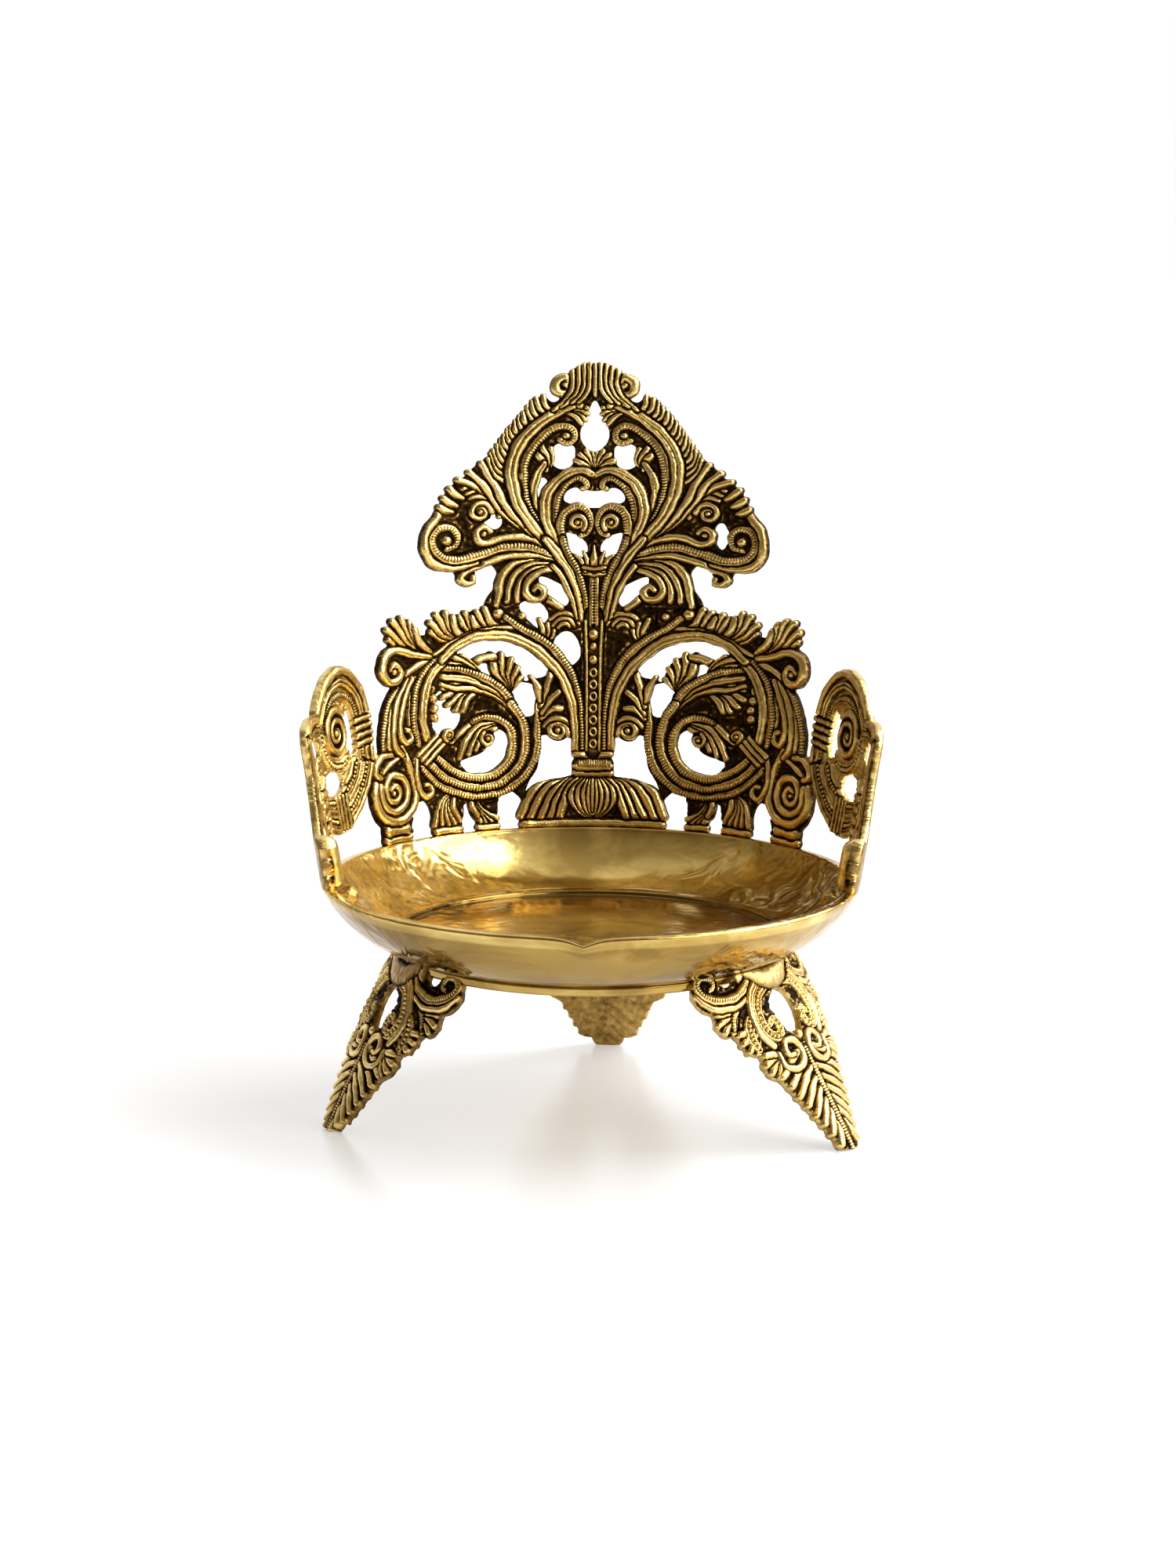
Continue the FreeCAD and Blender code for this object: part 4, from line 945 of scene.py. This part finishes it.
def turned_mesh(name, profile, wear_and_shade, shape=None):
    """A closed surface turned from a profile that starts and ends on the axis, then shaped."""
    profile, wear_and_shade = np.array(profile), np.array(wear_and_shade)
    angles = np.linspace(0, 2 * math.pi, AROUND, endpoint=False)
    radius, angle = np.meshgrid(profile[1:-1, 0], angles, indexing="ij")
    height = np.repeat(profile[1:-1, 1][:, None], AROUND, 1)
    if shape:
        radius, height = shape(radius, height, angle)
    points = np.stack([radius * np.sin(angle), -radius * np.cos(angle), height], -1).reshape(-1, 3)
    ends = np.array([[0, 0, profile[0, 1]], [0, 0, profile[-1, 1]]])
    rings = len(profile) - 2
    first, last = rings * AROUND, rings * AROUND + 1
    faces = []
    for i in range(AROUND):
        j = (i + 1) % AROUND
        for ring in range(0, first - AROUND, AROUND):
            faces.append((ring + i, ring + j, ring + AROUND + j, ring + AROUND + i))
        faces.append((first, j, i))
        faces.append((last, first - AROUND + i, first - AROUND + j))
    mesh = bpy.data.meshes.new(name)
    mesh.from_pydata((np.concatenate([points, ends]) * MM).tolist(), [], faces)
    set_values(mesh, "wear_and_shade", (np.repeat(wear_and_shade[1:-1], AROUND), wear_and_shade[[0, -1]]))
    mesh.shade_smooth()
    return mesh


def dish_section():
    """The dish's section, from the axis underneath, out over the rim, to the axis on top, and how
    bright each point is painted: bright on the lip and inside, darker in the ledge's corner, and dark at the
    foot, which is painted shade where the bowl meets the base plate and the legs."""
    under = line((0, FOOT), (41.2, FOOT), 16) + [(41.7, 36.06), (42.2, 36.3)]
    wall = arc_through((42.6, 36.5), (51.6, 41.7), (57.5, 49.3), 34)
    lip = [(57.46, 49.7), (57.25, 49.95), (56.9, 50.08), (56.3, 50.16), (55.7, 50.2), (55.3, 50.14),
           (55.05, 49.9)]
    hollow = arc_through((54.9, 49.6), (49.2, 43.2), (42.4, 38.95), 34)
    ledge = [(42.1, 38.88), (41.7, 38.84), (41.35, 38.78), (41.1, 38.6), (40.95, 38.35)]
    step = [(LEDGE_RADIUS, 38.1), (40.7, 37.92), (40.4, 37.83), (40.0, FLOOR)]
    outside = under + wall[:-4]
    inside = wall[-4:] + lip + hollow + ledge + step + line((39.4, FLOOR), (0, FLOOR), 22)
    # Outside: darker near the foot, as painted shade where the bowl meets the base plate and the legs.
    wear_and_shade = [0.63 - 0.34 * math.exp(-((height - FOOT) / 1.3) ** 2) for _, height in outside]
    wear_and_shade += [1.0 - 0.85 * math.exp(-((radius - LEDGE_RADIUS) / 0.45) ** 2) for radius, _ in inside]
    return outside + inside, wear_and_shade


def dish_shape(radius, height, angle):
    """The spout's pinch in front and the small unevenness of the wall."""
    angle = (angle + math.pi) % (2 * math.pi) - math.pi
    across = np.abs(angle * RIM_RADIUS)
    rise = np.clip((height - 40.5) / 9.5, 0.0, 1.0) ** 2
    radius = radius + 1.75 * np.exp(-(across / 3.6) ** 1.25) * rise
    height = height - 1.5 * np.exp(-(across / 3.0) ** 1.3) * rise
    wall = np.clip((radius - 43.0) / 5.0, 0.0, 1.0)
    sway = np.sin(5 * angle + 0.7) + 0.7 * np.sin(9 * angle + radius * 0.21)
    sway = sway + 0.5 * np.sin(16 * angle - radius * 0.35)
    return radius - 0.07 * wall * (1.3 + sway / 1.7), height


def build_dish():
    mesh = turned_mesh("dish_bowl", *dish_section(), dish_shape)
    add_piece("dish_bowl", mesh, POLISHED, "polished_brass", "dish")


def build_base_plate():
    base = line((0, PLATE_BOTTOM), (40.9, PLATE_BOTTOM), 10) + [(41.2, 34.08), (41.42, 34.3), (41.5, 34.6)]
    base += line((41.5, 34.8), (41.5, 35.7), 3) + [(41.4, 35.96)] + line((41.0, FOOT), (0, FOOT), 8)
    mesh = turned_mesh("base_disc", base, [0.8] * len(base))
    add_piece("base_disc", mesh, POLISHED, "polished_brass", "base_plate")


def build_brazes():
    """The brazing beads: the CAD beads with a lumpy surface."""
    for node in ("screen_brazes", "wing_brazes", "leg_brazes"):
        bead = new_object(node + "_beads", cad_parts[node].data.copy())
        bead.data.materials.clear()
        remesh = bead.modifiers.new("remesh", "REMESH")
        remesh.mode, remesh.voxel_size = "VOXEL", BEAD_VOXEL
        bead.modifiers.new("smooth", "SMOOTH").iterations = 3
        mesh = modified_mesh(bead)
        bpy.data.objects.remove(bead)
        points = np.array([vertex.co for vertex in mesh.vertices])
        normals = np.array([vertex.normal for vertex in mesh.vertices])
        wave = np.sin(points @ (2100.0, 1700.0, 900.0)) * np.sin(points @ (-1300.0, 1900.0, 2300.0))
        points = points + normals * (wave - 1.0)[:, None] * BEAD_LUMPS
        mesh.vertices.foreach_set("co", points.ravel())
        mesh.update()
        mesh.shade_smooth()
        add_piece(node + "_beads", mesh, BRAZE, "braze_metal", node)


build_screen()
build_wings()
build_legs()
build_dish()
build_base_plate()
build_brazes()

# ---- Studio ----

SENSOR = 36.0
LENS = 118.886
CAMERA_DISTANCE = 1.1
CAMERA_PITCH = math.radians(11.0)
CAMERA_AZIMUTH = math.radians(1.35)
CAMERA_ROLL = math.radians(0.3)
TARGET = Vector((-0.0006, 0.0, 0.0707))
FLOOR_HALF = 6


def add_camera():
    data = bpy.data.cameras.new("camera")
    data.sensor_width, data.lens = SENSOR, LENS
    data.clip_start, data.clip_end = 0.01, 20.0
    camera = new_object("camera", data)
    back = Vector((math.sin(CAMERA_AZIMUTH) * math.cos(CAMERA_PITCH),
                   -math.cos(CAMERA_AZIMUTH) * math.cos(CAMERA_PITCH), math.sin(CAMERA_PITCH)))
    camera.location = TARGET + back * CAMERA_DISTANCE
    facing = (-back).to_track_quat("-Z", "Y")
    camera.rotation_euler = (facing.to_matrix() @ Matrix.Rotation(CAMERA_ROLL, 3, "Z")).to_euler()
    bpy.context.scene.camera = camera


def add_light(name, place, aim, size, power, colour=(1.0, 1.0, 1.0)):
    """A square soft light that is turned to its aim."""
    data = bpy.data.lights.new(name, "AREA")
    data.shape, data.size = "SQUARE", size
    data.energy, data.color = power, colour
    light = new_object(name, data)
    light.location = place
    light.rotation_euler = (Vector(aim) - Vector(place)).to_track_quat("-Z", "Y").to_euler()


def add_world():
    """A white room whose side behind the camera is dim, so that the brass has something dark to show."""
    world = bpy.data.worlds.new("studio")
    bpy.context.scene.world = world
    world.use_nodes = True
    tree = world.node_tree
    axes = new_node(tree, "SeparateXYZ", Vector=new_node(tree, "TexCoord").outputs["Generated"]).outputs
    place = calc(tree, "MULTIPLY_ADD", axes["Y"], 0.375, 0.5)
    place = calc(tree, "MULTIPLY_ADD", axes["Z"], 0.13, place)
    place = calc(tree, "MULTIPLY_ADD", axes["X"], 0.225, place)
    colour = ramp(tree, place, [(0.0, (0.24, 0.205, 0.16)), (0.30, (0.155, 0.12, 0.085)),
                                (0.5, (0.42, 0.38, 0.33)), (0.72, 0.92), (0.81, 1.0)])
    feed(tree.nodes["Background"].inputs["Color"], colour)
    tree.nodes["Background"].inputs["Strength"].default_value = 1.0


def add_floor():
    mesh = bpy.data.meshes.new("floor")
    corners = [(-1, -1), (1, -1), (1, 1), (-1, 1)]
    mesh.from_pydata([(x * FLOOR_HALF, y * FLOOR_HALF, 0) for x, y in corners], [], [(0, 1, 2, 3)])
    floor = new_object("floor", mesh)
    material, _, inputs = new_material("floor_white")
    inputs["Base Color"].default_value = (0.62, 0.63, 0.65, 1.0)
    inputs["Roughness"].default_value = 0.25
    inputs["Emission Color"].default_value = (1.0, 1.0, 1.0, 1.0)
    inputs["Emission Strength"].default_value = 0.36
    mesh.materials.append(material)


add_camera()
add_floor()
add_world()
add_light("key", (1.05, -0.75, 0.75), (0, 0, 0.06), 0.9, 12.0, (1.0, 0.98, 0.93))
add_light("side", (0.82, 0.30, 0.85), (0, 0, 0.05), 1.1, 16.0)
bpy.context.scene.view_settings.view_transform = "Standard"
